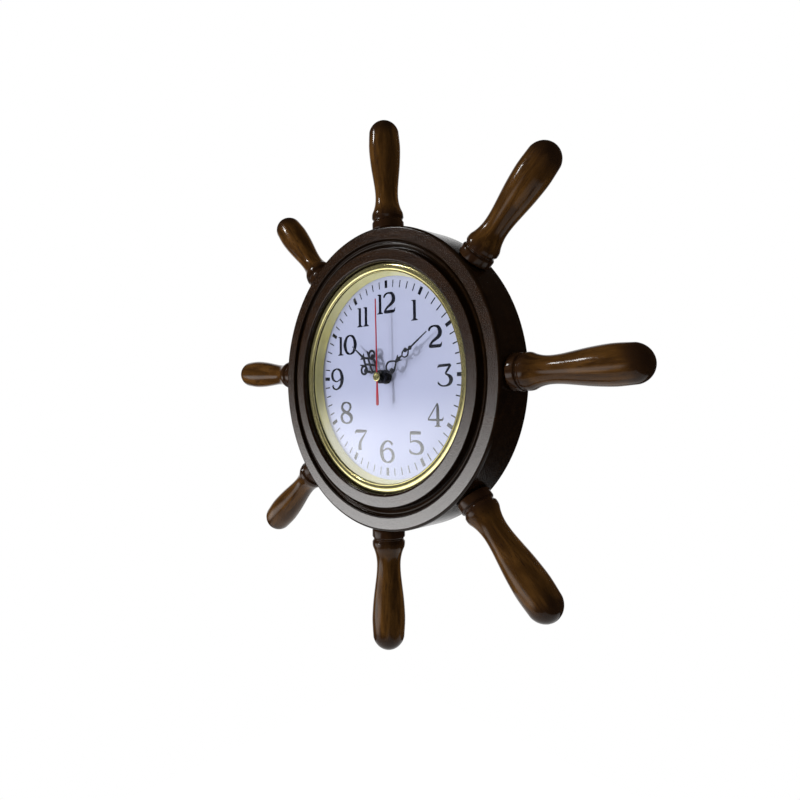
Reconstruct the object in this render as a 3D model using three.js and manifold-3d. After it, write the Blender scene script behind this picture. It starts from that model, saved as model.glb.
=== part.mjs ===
// A wall clock in the shape of a ship's wheel: a turned wooden wheel with eight turned handles, and a
// brass-rimmed quartz clock let into its bore. Millimetres. +Z is up, and the dial faces -Y.
// The origin is the centre of the wheel, where the axes of the handles meet.
import * as THREE from "three";
import { mergeVertices } from "three/addons/utils/BufferGeometryUtils.js";
import Module from "manifold-3d";

const wasm = await Module();
wasm.setup();

// Clearances
const seatGap = 0.3;
const runningGap = 0.3;
const cutOverrun = 1;

// Facets round the clock's axis, a handle, and small round pieces
const ringFacets = 40;
const handleFacets = 12;
const smallFacets = 12;
const fineFacets = 8;
const cellFacets = 16;
const hexFacets = 6;
const curveSteps = 6;
const cornerSteps = 1;

// Dial and the cup behind it. A depth is counted from the wheel's front face to the back.
const dialRadius = 78.9;
const dialDepth = 12.4;
const dialThickness = 0.8;
const caseWall = 1;
const caseFloor = 1.5;
const caseFlangeReach = 2.4;
const caseFlangeThickness = 1;
const gasketThickness = 0.8;
const gasketWidth = 4;

// Lens, bezel and reflector. The lens is domed, and its depth is that of its front at its edge.
const lensDepth = 4.8;
const lensRise = 8.6;
const lensThickness = 1.2;
const lensRingShares = [0.35, 0.7, 1];
const bezelWall = 0.6;
const bezelLipReach = 5.7;
const bezelRise = 1.2;
// Across the bezel's lip from its inner edge, and up from its underside
const bezelLipShares = [
  [0, 0.35],
  [0.3, 0.9],
  [0.6, 1],
  [1, 0.2],
];
const reflectorRise = 0.6;
const reflectorTopWall = 0.5;
const reflectorTaper = 2.4;

// Turned wheel
const rimDepth = 32;
const handlePlaneDepth = 14.5;
const innerRingWidth = 9.6;
const innerRingRise = 1.5;
const coveWidth = 2.4;
const coveDepth = 4;
const beadWidth = 3.1;
const beadSink = 1.7;
const beadHeight = 1.5;
const grooveWidth = 1.5;
const grooveDepth = 2.8;
const outerFlatWidth = 9.95;
const frontRounding = 2;
const backRounding = 1.5;
const ringRounding = 0.4;
const ringInnerRounding = 1.8;
const beadSteps = 3;
// Across the cove from the inner ring, and down it
const coveShares = [
  [0.2, 0.6],
  [0.7, 1],
];

// Handles
const handleCount = 8;
const handleLength = 88;
const handleRadius = 12.2;
const tenonRadius = 6;
const tenonLength = 21;
// Degrees clockwise, handle by handle from the top: where the socket was bored off its eighth of the
// wheel, and how far the glued handle leans off its socket's radius.
const socketDrift = [-1.4, 0.3, -1.6, -0.2, -0.5, 2.6, 0.7, 0.6];
const handleLean = [-3.1, -1.3, -1.9, 1.1, -0.4, 1, -0.1, -0.6];
// Along a handle from its seat, and across it, as shares of its length and of its radius
const handleShares = [
  [0, 0.94],
  [0.014, 1],
  [0.062, 1],
  [0.088, 0.9],
  [0.12, 1],
  [0.15, 0.985],
  [0.19, 0.86],
  [0.25, 0.745],
  [0.33, 0.725],
  [0.5, 0.85],
  [0.74, 0.995],
  [0.89, 0.92],
  [0.955, 0.7],
  [0.99, 0.38],
];

// Movement
const movementWidth = 56;
const movementAbove = 20;
const gearRoomBelow = 16;
const batteryBayHeight = 15;
const movementWall = 1.2;
const gearRoomDepth = 10.4;
const trayCorner = 3;
const rubberWasherThickness = 0.5;
const rubberWasherRadius = 9;

// Shafts on the clock's axis, from the inside out
const secondArborRadius = 0.55;
const minutePipeWall = 0.6;
const hourTubeWall = 0.5;
const bushingWall = 0.85;
const washerRadius = 5.4;
const washerThickness = 0.4;
const nutAcross = 9.4;
const nutThickness = 1.5;
const bushingProud = 0.2;

// Wheels of the train
const wheelThickness = 1;
const levelGap = 0.4;
const pivotDip = 0.3;
const pivotWell = 0.6;
const arborRadius = 0.55;
const thirdReach = 11.4;
const intermediateReach = 11.4;
const rotorReach = 8.4;
const reductionReach = 9.6;
const rotorPinionTeeth = 6;
const intermediateTeeth = 30;
const intermediatePinionTeeth = 6;
const secondTeeth = 36;
const secondPinionTeeth = 6;
const thirdTeeth = 45;
const thirdPinionTeeth = 6;
const centreTeeth = 48;
const cannonTeeth = 8;
const reductionTeeth = 24;
const reductionPinionTeeth = 6;
const hourTeeth = 24;
const knobPinionTeeth = 8;
// A tooth's corners: out from the pitch circle in modules, and round from its middle in half pitches
const pinionToothShares = [
  [-1.15, -0.46],
  [0.75, -0.16],
  [0.75, 0.16],
  [-1.15, 0.46],
];
const wheelToothShares = [
  [-1.9, -1],
  [0.7, -0.16],
  [0.7, 0.16],
];

// Where the arbors stand round the clock's axis, in degrees anticlockwise from the right
const thirdBearing = 150;
const intermediateBearing = 50;
const rotorBearing = -5;
const reductionBearing = -50;
const knobBearing = 10;

// Stepping motor
const magnetRadius = 3;
const magnetLength = 4;
const statorThickness = 1.2;
const statorHoleGap = 0.5;
const statorWeb = 1.3;
const statorArm = 3;
const statorHalfHeight = 8.2;
const coilRadius = 2.7;
const coilLength = 9.4;
const coilFlange = 0.6;
const coreWidth = 2.4;

// Board, crystal and battery
const boardWidth = 13;
const boardHeight = 26;
const boardThickness = 1;
const crystalRadius = 1.2;
const crystalLength = 7;
const batteryRadius = 6.9;
const batteryLength = 49.2;
const batteryNubRadius = 2.7;
const batteryNubLength = 1.3;
const contactThickness = 0.5;
const contactHeight = 9;
const contactBumpRadius = 2.2;

// Setting knob
const knobShaftRadius = 1.2;
const knobRadius = 5.5;
const knobThickness = 1.7;
const knobFlutes = 12;
const knobFluteShare = 0.12;

// Hands. Heights are counted from the front of the dial.
const handThickness = 0.5;
const hourHandHeight = 5;
const minuteHandHeight = 6.7;
const secondHandHeight = 10.5;
const handHubRadius = 5.05;
const hourHandLength = 41;
const minuteHandLength = 55.8;
const secondHandLength = 58.5;
const secondTailLength = 21.3;
const secondHandThickness = 0.4;
const secondTipWidth = 0.7;
const secondTailWidth = 2.3;
const secondCollarRadius = 3;
const secondCapRadius = 3.4;
const secondCapThickness = 0.6;
const hourHandAngle = 305;
const minuteHandAngle = 55.2;
const secondHandAngle = 357.4;

// Keyhole plate on the back
const plateWidth = 44;
const plateHeight = 18;
const plateThickness = 1.5;
const plateCorner = 2;
const keyholeRadius = 4.5;
const keyholeDrop = 3.2;
const keySlotRadius = 1.9;
const keySlotRise = 4.3;
const nailPocketWidth = 14;
const nailPocketHeight = 15;
const nailPocketDepth = 6.5;
const plateScrewInset = 5.5;
const screwRadius = 1.5;
const screwHeadRadius = 3;
const screwLength = 12;

// Colours, roughness and metalness
const finishes = {
  darkWood: { color: 0x2f1b10, roughness: 0.35, metalness: 0 },
  handleWood: { color: 0x53321a, roughness: 0.25, metalness: 0 },
  brass: { color: 0xc9b37a, roughness: 0.25, metalness: 1 },
  glass: { color: 0xf2f6f6, roughness: 0.05, metalness: 0, transparent: true, opacity: 0.2 },
  dial: { color: 0xe6e8f2, roughness: 0.5, metalness: 0 },
  blackPaint: { color: 0x0c0c0e, roughness: 0.4, metalness: 0 },
  redPaint: { color: 0x8e1420, roughness: 0.4, metalness: 0 },
  casePlastic: { color: 0x17181a, roughness: 0.5, metalness: 0 },
  gearPlastic: { color: 0xe9e6da, roughness: 0.5, metalness: 0 },
  rubber: { color: 0x1b1b1b, roughness: 0.8, metalness: 0 },
  steel: { color: 0xb9bcc0, roughness: 0.35, metalness: 1 },
  copper: { color: 0xb4683a, roughness: 0.35, metalness: 1 },
  board: { color: 0x1f5a35, roughness: 0.5, metalness: 0 },
  battery: { color: 0x303438, roughness: 0.4, metalness: 0.4 },
};

// Radii that follow, from the dial outwards
const caseInner = dialRadius + seatGap;
const caseRadius = caseInner + caseWall;
const gasketInner = caseRadius + seatGap;
const gasketRadius = gasketInner + gasketThickness;
const boreRadius = gasketRadius + seatGap;
const caseFlangeRadius = boreRadius + caseFlangeReach;
const bezelInner = caseFlangeRadius + seatGap;
const bezelRadius = bezelInner + bezelWall;
const rebateRadius = bezelRadius + seatGap;
const innerRingRadius = rebateRadius + innerRingWidth;
const coveRadius = innerRingRadius + coveWidth;
const beadRadius = coveRadius + beadWidth;
const grooveRadius = beadRadius + grooveWidth;
const rimRadius = grooveRadius + outerFlatWidth;

// Depths that follow, from the front face to the back
const lensBack = lensDepth + lensThickness;
const flangeDepth = lensBack + seatGap;
const bezelBack = flangeDepth + caseFlangeThickness;
const ledgeDepth = bezelBack + seatGap;
const floorDepth = dialDepth + dialThickness + seatGap;
const rubberDepth = floorDepth + caseFloor + seatGap;
const trayDepth = rubberDepth + rubberWasherThickness + seatGap;
const roomFront = trayDepth + movementWall;
const roomBack = roomFront + gearRoomDepth;
const coverFront = roomBack + seatGap;
const coverBack = coverFront + movementWall;
const washerDepth = dialDepth - seatGap;
const nutDepth = washerDepth - washerThickness - seatGap;
const bushingDepth = nutDepth - nutThickness - bushingProud;

// Depth of the domed lens's front at a radius
function lensFront(radius) {
  return lensDepth - lensRise * (1 - (radius / caseFlangeRadius) ** 2);
}

// The seconds hand stands as high as it should, or just clear of the lens at its tip
const secondHandFront = Math.max(
  dialDepth - secondHandHeight,
  lensFront(secondHandLength) + lensThickness + runningGap,
);
const minuteHandFront = dialDepth - minuteHandHeight - handThickness;

// Radii on the clock's axis that follow
const minutePipeInner = secondArborRadius + runningGap;
const minutePipeRadius = minutePipeInner + minutePipeWall;
const hourTubeInner = minutePipeRadius + runningGap;
const hourTubeRadius = hourTubeInner + hourTubeWall;
const bushingInner = hourTubeRadius + runningGap;
const bushingRadius = bushingInner + bushingWall;
const throatRadius = bushingRadius + seatGap;

// Levels of the train, as the front depth of each
const hourLevel = roomFront + seatGap;
const motionLevel = hourLevel + wheelThickness + levelGap;
const centreLevel = motionLevel + wheelThickness + levelGap;
const thirdLevel = centreLevel + wheelThickness + levelGap;
const secondLevel = thirdLevel + wheelThickness + levelGap;
const rotorLevel = secondLevel + wheelThickness + levelGap;

const radians = THREE.MathUtils.degToRad;

// Y of a depth counted from the wheel's front face
function atDepth(depth) {
  return depth - handlePlaneDepth;
}

// A closed geometry as a solid that can be joined and cut
function solidOf(geometry) {
  const bare = geometry.clone();
  bare.deleteAttribute("normal");
  bare.deleteAttribute("uv");
  const merged = mergeVertices(bare);
  return new wasm.Manifold(
    new wasm.Mesh({
      numProp: 3,
      vertProperties: merged.attributes.position.array,
      triVerts: new Uint32Array(merged.index.array),
    }),
  );
}

// A joined or cut solid as a geometry
function geometryOf(solid) {
  const cut = solid.getMesh();
  const geometry = new THREE.BufferGeometry();
  geometry.setAttribute("position", new THREE.BufferAttribute(cut.vertProperties, cut.numProp));
  geometry.setIndex(new THREE.BufferAttribute(cut.triVerts, 1));
  geometry.computeVertexNormals();
  return geometry;
}

function joined(geometries) {
  return geometries.map(solidOf).reduce((whole, next) => whole.add(next));
}

function cutBy(solid, geometries) {
  return geometries.map(solidOf).reduce((whole, next) => whole.subtract(next), solid);
}

function material(name) {
  return new THREE.MeshStandardMaterial(finishes[name]);
}

function piece(name, geometry, finish) {
  const mesh = new THREE.Mesh(geometry, material(finish));
  mesh.name = name;
  return mesh;
}

// A ring or disc turned about the clock's axis. Its [radius, depth] corners run outwards over the
// front, then back along the outside.
function turned(corners, facets) {
  const profile = corners.map(([radius, depth]) => new THREE.Vector2(radius, atDepth(depth)));
  return new THREE.LatheGeometry([...profile, profile[0].clone()], facets);
}

function tube(inner, outer, front, back, facets) {
  return turned([[inner, front], [outer, front], [outer, back], [inner, back]], facets);
}

// A round bar along the depth, centred at [x, z]
function bar(radius, front, back, facets, [x, z] = [0, 0]) {
  const geometry = new THREE.CylinderGeometry(radius, radius, back - front, facets);
  return geometry.translate(x, atDepth((front + back) / 2), z);
}

// A block from its low to its high [x, z] corner, between two depths
function block([lowX, lowZ], [highX, highZ], front, back) {
  const geometry = new THREE.BoxGeometry(highX - lowX, back - front, highZ - lowZ);
  return geometry.translate((lowX + highX) / 2, atDepth((front + back) / 2), (lowZ + highZ) / 2);
}

// A flat outline, drawn with x to the right and y up, as a plate between two depths
function plate(outline, front, back, curveSegments = curveSteps) {
  const geometry = new THREE.ExtrudeGeometry(outline, {
    depth: back - front,
    bevelEnabled: false,
    curveSegments,
  });
  return geometry.rotateX(Math.PI / 2).translate(0, atDepth(back), 0);
}

function roundedRectangle([lowX, lowZ], [highX, highZ], corner) {
  const outline = new THREE.Shape();
  outline.moveTo(lowX + corner, lowZ);
  outline.lineTo(highX - corner, lowZ);
  outline.absarc(highX - corner, lowZ + corner, corner, -Math.PI / 2, 0);
  outline.lineTo(highX, highZ - corner);
  outline.absarc(highX - corner, highZ - corner, corner, 0, Math.PI / 2);
  outline.lineTo(lowX + corner, highZ);
  outline.absarc(lowX + corner, highZ - corner, corner, Math.PI / 2, Math.PI);
  outline.lineTo(lowX, lowZ + corner);
  outline.absarc(lowX + corner, lowZ + corner, corner, Math.PI, Math.PI * 1.5);
  return outline;
}

function polygon(corners) {
  return new THREE.Shape(corners.map(([x, y]) => new THREE.Vector2(x, y)));
}

// The point at a reach and bearing from another, in the plane of the dial
function offset([x, z], reach, bearing) {
  return [x + reach * Math.cos(radians(bearing)), z + reach * Math.sin(radians(bearing))];
}

// The turned wheel: its moulded face, ledged bore, handle sockets and hanger mortise
function roundedCorner([centreRadius, centreDepth], size, firstTurn, steps) {
  return Array.from({ length: steps + 1 }, (_, step) => {
    const turn = firstTurn + (Math.PI / 2) * (step / steps);
    return [centreRadius + size * Math.cos(turn), centreDepth + size * Math.sin(turn)];
  });
}

function beadCorners() {
  const halfWidth = beadWidth / 2;
  return Array.from({ length: beadSteps + 1 }, (_, step) => {
    const turn = Math.PI * (1 - step / beadSteps);
    return [
      coveRadius + halfWidth + halfWidth * Math.cos(turn),
      beadSink + beadHeight - beadHeight * Math.sin(turn),
    ];
  });
}

function rimProfile() {
  const ringEdge = ringRounding - innerRingRise;
  return [
    [boreRadius, ledgeDepth],
    [rebateRadius, ledgeDepth],
    ...roundedCorner(
      [rebateRadius + ringInnerRounding, ringInnerRounding - innerRingRise],
      ringInnerRounding,
      -Math.PI,
      1,
    ),
    [innerRingRadius - ringRounding, -innerRingRise],
    [innerRingRadius, ringEdge],
    ...coveShares.map(([across, deep]) => [
      innerRingRadius + coveWidth * across,
      coveDepth * deep,
    ]),
    ...beadCorners(),
    [beadRadius + grooveWidth / 2, grooveDepth],
    [grooveRadius, 0],
    ...roundedCorner([rimRadius - frontRounding, frontRounding], frontRounding, -Math.PI / 2, 2),
    ...roundedCorner([rimRadius - backRounding, rimDepth - backRounding], backRounding, 0, 1),
    [boreRadius, rimDepth],
  ];
}

// A group whose +Z runs out along a handle's socket
function socketFrame(index) {
  const frame = new THREE.Group();
  frame.rotation.y = radians((index * 360) / handleCount + socketDrift[index]);
  frame.updateMatrix();
  return frame;
}

function socketCut(index) {
  const radius = tenonRadius + seatGap;
  const length = tenonLength + seatGap + cutOverrun;
  const hole = new THREE.CylinderGeometry(radius, radius, length, handleFacets);
  hole.rotateX(Math.PI / 2);
  hole.translate(0, 0, -length / 2 + cutOverrun);
  hole.rotateY(radians(handleLean[index]));
  hole.translate(0, 0, rimRadius);
  return hole.applyMatrix4(socketFrame(index).matrix);
}

const plateCentre = (boreRadius + rimRadius) / 2;
const plateDepth = rimDepth - plateThickness;
const screwReach = plateWidth / 2 - plateScrewInset;

function hangerMortise() {
  const halfWidth = plateWidth / 2 + seatGap;
  const halfHeight = plateHeight / 2 + seatGap;
  const back = rimDepth + cutOverrun;
  const seat = plateDepth - seatGap;
  return [
    plate(
      roundedRectangle(
        [-halfWidth, plateCentre - halfHeight],
        [halfWidth, plateCentre + halfHeight],
        plateCorner + seatGap,
      ),
      seat,
      back,
      cornerSteps,
    ),
    block(
      [-nailPocketWidth / 2, plateCentre - nailPocketHeight / 2],
      [nailPocketWidth / 2, plateCentre + nailPocketHeight / 2],
      seat - nailPocketDepth,
      back,
    ),
    ...[-1, 1].map((side) =>
      bar(
        screwRadius + seatGap,
        rimDepth - screwLength - seatGap,
        back,
        fineFacets,
        [side * screwReach, plateCentre],
      ),
    ),
  ];
}

function wheelRim() {
  const sockets = Array.from({ length: handleCount }, (_, index) => socketCut(index));
  const rim = cutBy(solidOf(turned(rimProfile(), ringFacets)), [...sockets, ...hangerMortise()]);
  return piece("wheel_rim", geometryOf(rim), "darkWood");
}

// One turned handle with its tenon, standing in its socket
function handle(index) {
  const tenon = [
    [0, -tenonLength],
    [tenonRadius, -tenonLength],
    [tenonRadius, 0],
  ];
  const grip = handleShares.map(([along, across]) => [handleRadius * across, handleLength * along]);
  const profile = [...tenon, ...grip, [0, handleLength]].map(
    ([radius, along]) => new THREE.Vector2(radius, along),
  );
  const mesh = piece(
    `handle_${index + 1}`,
    new THREE.LatheGeometry(profile, handleFacets),
    "handleWood",
  );
  mesh.rotation.x = Math.PI / 2;
  const leaning = new THREE.Group();
  leaning.rotation.y = radians(handleLean[index]);
  leaning.position.z = rimRadius + seatGap;
  leaning.add(mesh);
  const frame = socketFrame(index);
  frame.add(leaning);
  return frame;
}

// Bezel, lens, reflector, dial, cup and gasket
function bezelRing() {
  const lip = bezelInner - bezelLipReach;
  const underside = lensFront(lip) - seatGap;
  const reach = bezelRadius - lip;
  return turned(
    [
      ...bezelLipShares.map(([across, up]) => [lip + reach * across, underside - bezelRise * up]),
      [bezelRadius, bezelBack],
      [bezelInner, bezelBack],
      [bezelInner, underside],
      [lip, underside],
    ],
    ringFacets,
  );
}

function glassLens() {
  const front = lensRingShares.map((share) => [
    caseFlangeRadius * share,
    lensFront(caseFlangeRadius * share),
  ]);
  const back = front.map(([radius, depth]) => [radius, depth + lensThickness]).reverse();
  return turned([[0, lensFront(0)], ...front, ...back, [0, lensFront(0) + lensThickness]], ringFacets);
}

function reflectorRing() {
  const back = dialDepth - seatGap;
  return turned(
    [
      [dialRadius - reflectorTopWall, flangeDepth - reflectorRise],
      [dialRadius, flangeDepth - reflectorRise],
      [dialRadius - reflectorTaper, back],
      [dialRadius - reflectorTopWall - reflectorTaper, back],
    ],
    ringFacets,
  );
}

function insertCase() {
  return turned(
    [
      [throatRadius, floorDepth],
      [caseInner, floorDepth],
      [caseInner, flangeDepth],
      [caseFlangeRadius, flangeDepth],
      [caseFlangeRadius, bezelBack],
      [caseRadius, bezelBack],
      [caseRadius, floorDepth + caseFloor],
      [throatRadius, floorDepth + caseFloor],
    ],
    ringFacets,
  );
}

function dialAndCase() {
  const group = new THREE.Group();
  const gasketDepth = (ledgeDepth + floorDepth - gasketWidth) / 2;
  group.add(
    piece("bezel_ring", bezelRing(), "brass"),
    piece("glass_lens", glassLens(), "glass"),
    piece("reflector_ring", reflectorRing(), "brass"),
    piece(
      "dial_plate",
      tube(throatRadius, dialRadius, dialDepth, dialDepth + dialThickness, ringFacets),
      "dial",
    ),
    piece("insert_case", insertCase(), "casePlastic"),
    piece(
      "case_gasket",
      tube(gasketInner, gasketRadius, gasketDepth, gasketDepth + gasketWidth, ringFacets),
      "rubber",
    ),
  );
  return group;
}

// Toothed wheels. Each is one moulding of wheel, pinion and arbor.
function toothedOutline(toothShares, teeth, module, tooth, bore) {
  const pitchRadius = (module * teeth) / 2;
  const halfPitchTurn = Math.PI / teeth;
  const corners = [];
  for (let index = 0; index < teeth; index += 1) {
    const middle = tooth + 2 * index * halfPitchTurn;
    for (const [out, round] of toothShares) {
      const radius = pitchRadius + module * out;
      const turn = middle + halfPitchTurn * round;
      corners.push([radius * Math.cos(turn), radius * Math.sin(turn)]);
    }
  }
  const outline = polygon(corners);
  if (bore) {
    outline.holes.push(new THREE.Path().absarc(0, 0, bore, 0, 2 * Math.PI, true));
  }
  return outline;
}

// The angle of a tooth on a wheel that meshes with one whose tooth stands at drivingTooth, where the
// line from the driving wheel to the driven one has the given bearing
function meshingTooth(drivingTeeth, drivingTooth, drivenTeeth, bearing) {
  const line = radians(bearing);
  const drivingPhase = ((line - drivingTooth) * drivingTeeth) / (2 * Math.PI);
  const drivenPhase = 1 / 2 - drivingPhase;
  return line + Math.PI - (drivenPhase * 2 * Math.PI) / drivenTeeth;
}

const centre = [0, 0];
const thirdPlace = offset(centre, thirdReach, thirdBearing);
const intermediatePlace = offset(centre, intermediateReach, intermediateBearing);
const rotorPlace = offset(intermediatePlace, rotorReach, rotorBearing);
const reductionPlace = offset(centre, reductionReach, reductionBearing);
const knobPlace = offset(reductionPlace, reductionReach, knobBearing);

function moduleFor(reach, teeth, otherTeeth) {
  return (2 * reach) / (teeth + otherTeeth);
}

const rotorModule = moduleFor(rotorReach, rotorPinionTeeth, intermediateTeeth);
const secondModule = moduleFor(intermediateReach, intermediatePinionTeeth, secondTeeth);
const thirdModule = moduleFor(thirdReach, secondPinionTeeth, thirdTeeth);
const centreModule = moduleFor(thirdReach, thirdPinionTeeth, centreTeeth);
const motionModule = moduleFor(reductionReach, cannonTeeth, reductionTeeth);
const hourModule = moduleFor(reductionReach, reductionPinionTeeth, hourTeeth);

function gear(teeth, module, tooth, level, bore = 0) {
  const outline = toothedOutline(wheelToothShares, teeth, module, tooth, bore);
  return plate(outline, level, level + wheelThickness);
}

function pinion(teeth, module, tooth, front, back) {
  return plate(toothedOutline(pinionToothShares, teeth, module, tooth), front, back);
}

function arbor(front, back) {
  return bar(arborRadius, front, back, fineFacets);
}

function placedAt(mesh, [x, z]) {
  mesh.position.set(x, 0, z);
  return mesh;
}

const arborFront = roomFront - pivotDip;
const arborBack = coverFront + pivotDip;

function thirdWheel() {
  const pinionTooth = radians(thirdBearing + 180);
  const wheelTooth = meshingTooth(secondPinionTeeth, radians(thirdBearing), thirdTeeth, thirdBearing);
  const solid = joined([
    pinion(thirdPinionTeeth, centreModule, pinionTooth, centreLevel, thirdLevel + wheelThickness / 2),
    gear(thirdTeeth, thirdModule, wheelTooth, thirdLevel),
    arbor(arborFront, arborBack),
  ]);
  return placedAt(piece("third_wheel", geometryOf(solid), "gearPlastic"), thirdPlace);
}

function centreWheel() {
  const tooth = meshingTooth(
    thirdPinionTeeth,
    radians(thirdBearing + 180),
    centreTeeth,
    thirdBearing + 180,
  );
  const bore = minutePipeRadius + runningGap;
  const wheel = gear(centreTeeth, centreModule, tooth, centreLevel, bore);
  return piece("centre_wheel", wheel, "gearPlastic");
}

function secondWheel() {
  const pinionTooth = radians(thirdBearing);
  const wheelTooth = meshingTooth(
    intermediatePinionTeeth,
    radians(intermediateBearing + 180),
    secondTeeth,
    intermediateBearing + 180,
  );
  const solid = joined([
    pinion(secondPinionTeeth, thirdModule, pinionTooth, thirdLevel, secondLevel + wheelThickness / 2),
    gear(secondTeeth, secondModule, wheelTooth, secondLevel),
    arbor(secondHandFront + secondHandThickness + seatGap, arborBack),
  ]);
  return piece("second_wheel", geometryOf(solid), "gearPlastic");
}

function intermediateWheel() {
  const pinionTooth = radians(intermediateBearing + 180);
  const wheelTooth = meshingTooth(
    rotorPinionTeeth,
    radians(rotorBearing + 180),
    intermediateTeeth,
    rotorBearing + 180,
  );
  const solid = joined([
    pinion(
      intermediatePinionTeeth,
      secondModule,
      pinionTooth,
      secondLevel,
      rotorLevel + wheelThickness / 2,
    ),
    gear(intermediateTeeth, rotorModule, wheelTooth, rotorLevel),
    arbor(arborFront, arborBack),
  ]);
  return placedAt(piece("intermediate_wheel", geometryOf(solid), "gearPlastic"), intermediatePlace);
}

const magnetBack = secondLevel + wheelThickness / 2;
const magnetFront = magnetBack - magnetLength;

function rotor() {
  const tooth = radians(rotorBearing + 180);
  const solid = joined([
    bar(magnetRadius, magnetFront, magnetBack, smallFacets),
    pinion(rotorPinionTeeth, rotorModule, tooth, rotorLevel, rotorLevel + wheelThickness),
    arbor(arborFront, arborBack),
  ]);
  return placedAt(piece("rotor", geometryOf(solid), "steel"), rotorPlace);
}

function cannonPinion() {
  const tooth = radians(reductionBearing);
  const back = centreLevel + wheelThickness + levelGap / 2;
  const solid = joined([
    pinion(cannonTeeth, motionModule, tooth, motionLevel, motionLevel + wheelThickness),
    bar(minutePipeRadius, minuteHandFront, back, smallFacets),
  ]);
  const pipe = cutBy(solid, [
    bar(minutePipeInner, minuteHandFront - cutOverrun, back + cutOverrun, fineFacets),
  ]);
  return piece("cannon_pinion", geometryOf(pipe), "brass");
}

const postRadius = arborRadius;
const reductionTooth = meshingTooth(
  cannonTeeth,
  radians(reductionBearing),
  reductionTeeth,
  reductionBearing,
);

function reductionWheel() {
  const pinionTooth = radians(reductionBearing + 180);
  const solid = joined([
    pinion(reductionPinionTeeth, hourModule, pinionTooth, hourLevel, motionLevel + wheelThickness / 2),
    gear(reductionTeeth, motionModule, reductionTooth, motionLevel),
  ]);
  const bored = cutBy(solid, [
    bar(postRadius + runningGap, roomFront, centreLevel, fineFacets),
  ]);
  return placedAt(piece("reduction_wheel", geometryOf(bored), "gearPlastic"), reductionPlace);
}

function hourWheel() {
  const tooth = meshingTooth(
    reductionPinionTeeth,
    radians(reductionBearing + 180),
    hourTeeth,
    reductionBearing + 180,
  );
  const handFront = dialDepth - hourHandHeight - handThickness;
  const solid = joined([
    gear(hourTeeth, hourModule, tooth, hourLevel),
    bar(hourTubeRadius, handFront, hourLevel + wheelThickness, smallFacets),
  ]);
  const bored = cutBy(solid, [
    bar(hourTubeInner, handFront - cutOverrun, motionLevel, smallFacets),
  ]);
  return piece("hour_wheel", geometryOf(bored), "gearPlastic");
}

const knobFront = coverBack + seatGap;

function settingKnob() {
  const tooth = meshingTooth(reductionTeeth, reductionTooth, knobPinionTeeth, knobBearing);
  const fluteDepth = knobRadius * knobFluteShare;
  const corners = Array.from({ length: 2 * knobFlutes }, (_, index) => {
    const radius = knobRadius - (index % 2) * fluteDepth;
    const turn = (index * Math.PI) / knobFlutes;
    return [radius * Math.cos(turn), radius * Math.sin(turn)];
  });
  const solid = joined([
    pinion(knobPinionTeeth, motionModule, tooth, motionLevel, motionLevel + wheelThickness),
    bar(knobShaftRadius, motionLevel, knobFront + knobThickness / 2, smallFacets),
    arbor(arborFront, motionLevel + wheelThickness / 2),
    plate(polygon(corners), knobFront, knobFront + knobThickness),
  ]);
  return placedAt(piece("setting_knob", geometryOf(solid), "gearPlastic"), knobPlace);
}

// Hands, drawn pointing up. Their bars are shares of the hub's radius to the side and of the hand's
// length from the hub, and their rings are [side, along, half width, half length], outer then inner.
const hourHalfShares = [
  [[-0.03, 0.276], [0.18, 0.26], [1.4, 0.44], [1.05, 0.47]],
  [[1.2, 0.65], [1.37, 0.635], [0.16, 0.403], [-0.01, 0.418]],
  [[0.66, 0.53], [0.52, 0.517], [-0.07, 0.61], [0.07, 0.623]],
];
const hourMiddleShares = [
  [[-0.13, 0.1], [0.13, 0.1], [0.12, 0.47], [-0.12, 0.47]],
  [[-0.57, 0.7], [0, 0.61], [0.57, 0.69], [0, 0.735]],
  [[-0.15, 0.66], [0.15, 0.66], [0.05, 1], [-0.05, 1]],
];
const hourRingShares = [
  [[-1.4, 0.525, 0.78, 0.092], [-1.48, 0.537, 0.5, 0.058]],
  [[1.4, 0.525, 0.78, 0.092], [1.48, 0.537, 0.5, 0.058]],
];
const minuteBarShares = [
  [[-0.22, 0.3], [0.14, 0.3], [0.14, 0.46], [-0.22, 0.46]],
  [[-0.62, 0.405], [0, 0.35], [0.28, 0.39], [0, 0.44]],
  [[-0.22, 0.57], [0.14, 0.57], [0.1, 0.66], [-0.14, 0.66]],
  [[-0.36, 0.64], [0, 0.595], [0.36, 0.64], [0, 0.68]],
  [[-0.14, 0.62], [0.14, 0.62], [0.06, 1], [-0.06, 1]],
  [[-0.2, 0.07], [0.2, 0.07], [0.2, 0.12], [-0.2, 0.12]],
];
const minuteRingShares = [
  [[-0.06, 0.207, 0.88, 0.117], [-0.22, 0.21, 0.54, 0.087]],
  [[0, 0.515, 0.64, 0.071], [0.12, 0.512, 0.38, 0.047]],
];

function mirroredShares(shares) {
  return shares.map(([side, along]) => [-side, along]);
}

function hub(bore) {
  const outline = new THREE.Shape().absarc(0, 0, handHubRadius, 0, 2 * Math.PI);
  outline.holes.push(new THREE.Path().absarc(0, 0, bore, 0, 2 * Math.PI, true));
  return outline;
}

function handBar(shares, length) {
  return polygon(shares.map(([side, along]) => [side * handHubRadius, along * length]));
}

function handRing(shares, length) {
  const [outer, inner] = shares.map(([side, along, wide, high]) => [
    side * handHubRadius,
    along * length,
    wide * handHubRadius,
    high * length,
  ]);
  const ring = new THREE.Shape().absellipse(...outer, 0, 2 * Math.PI);
  ring.holes.push(new THREE.Path().absellipse(...inner, 0, 2 * Math.PI, true));
  return ring;
}

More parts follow.
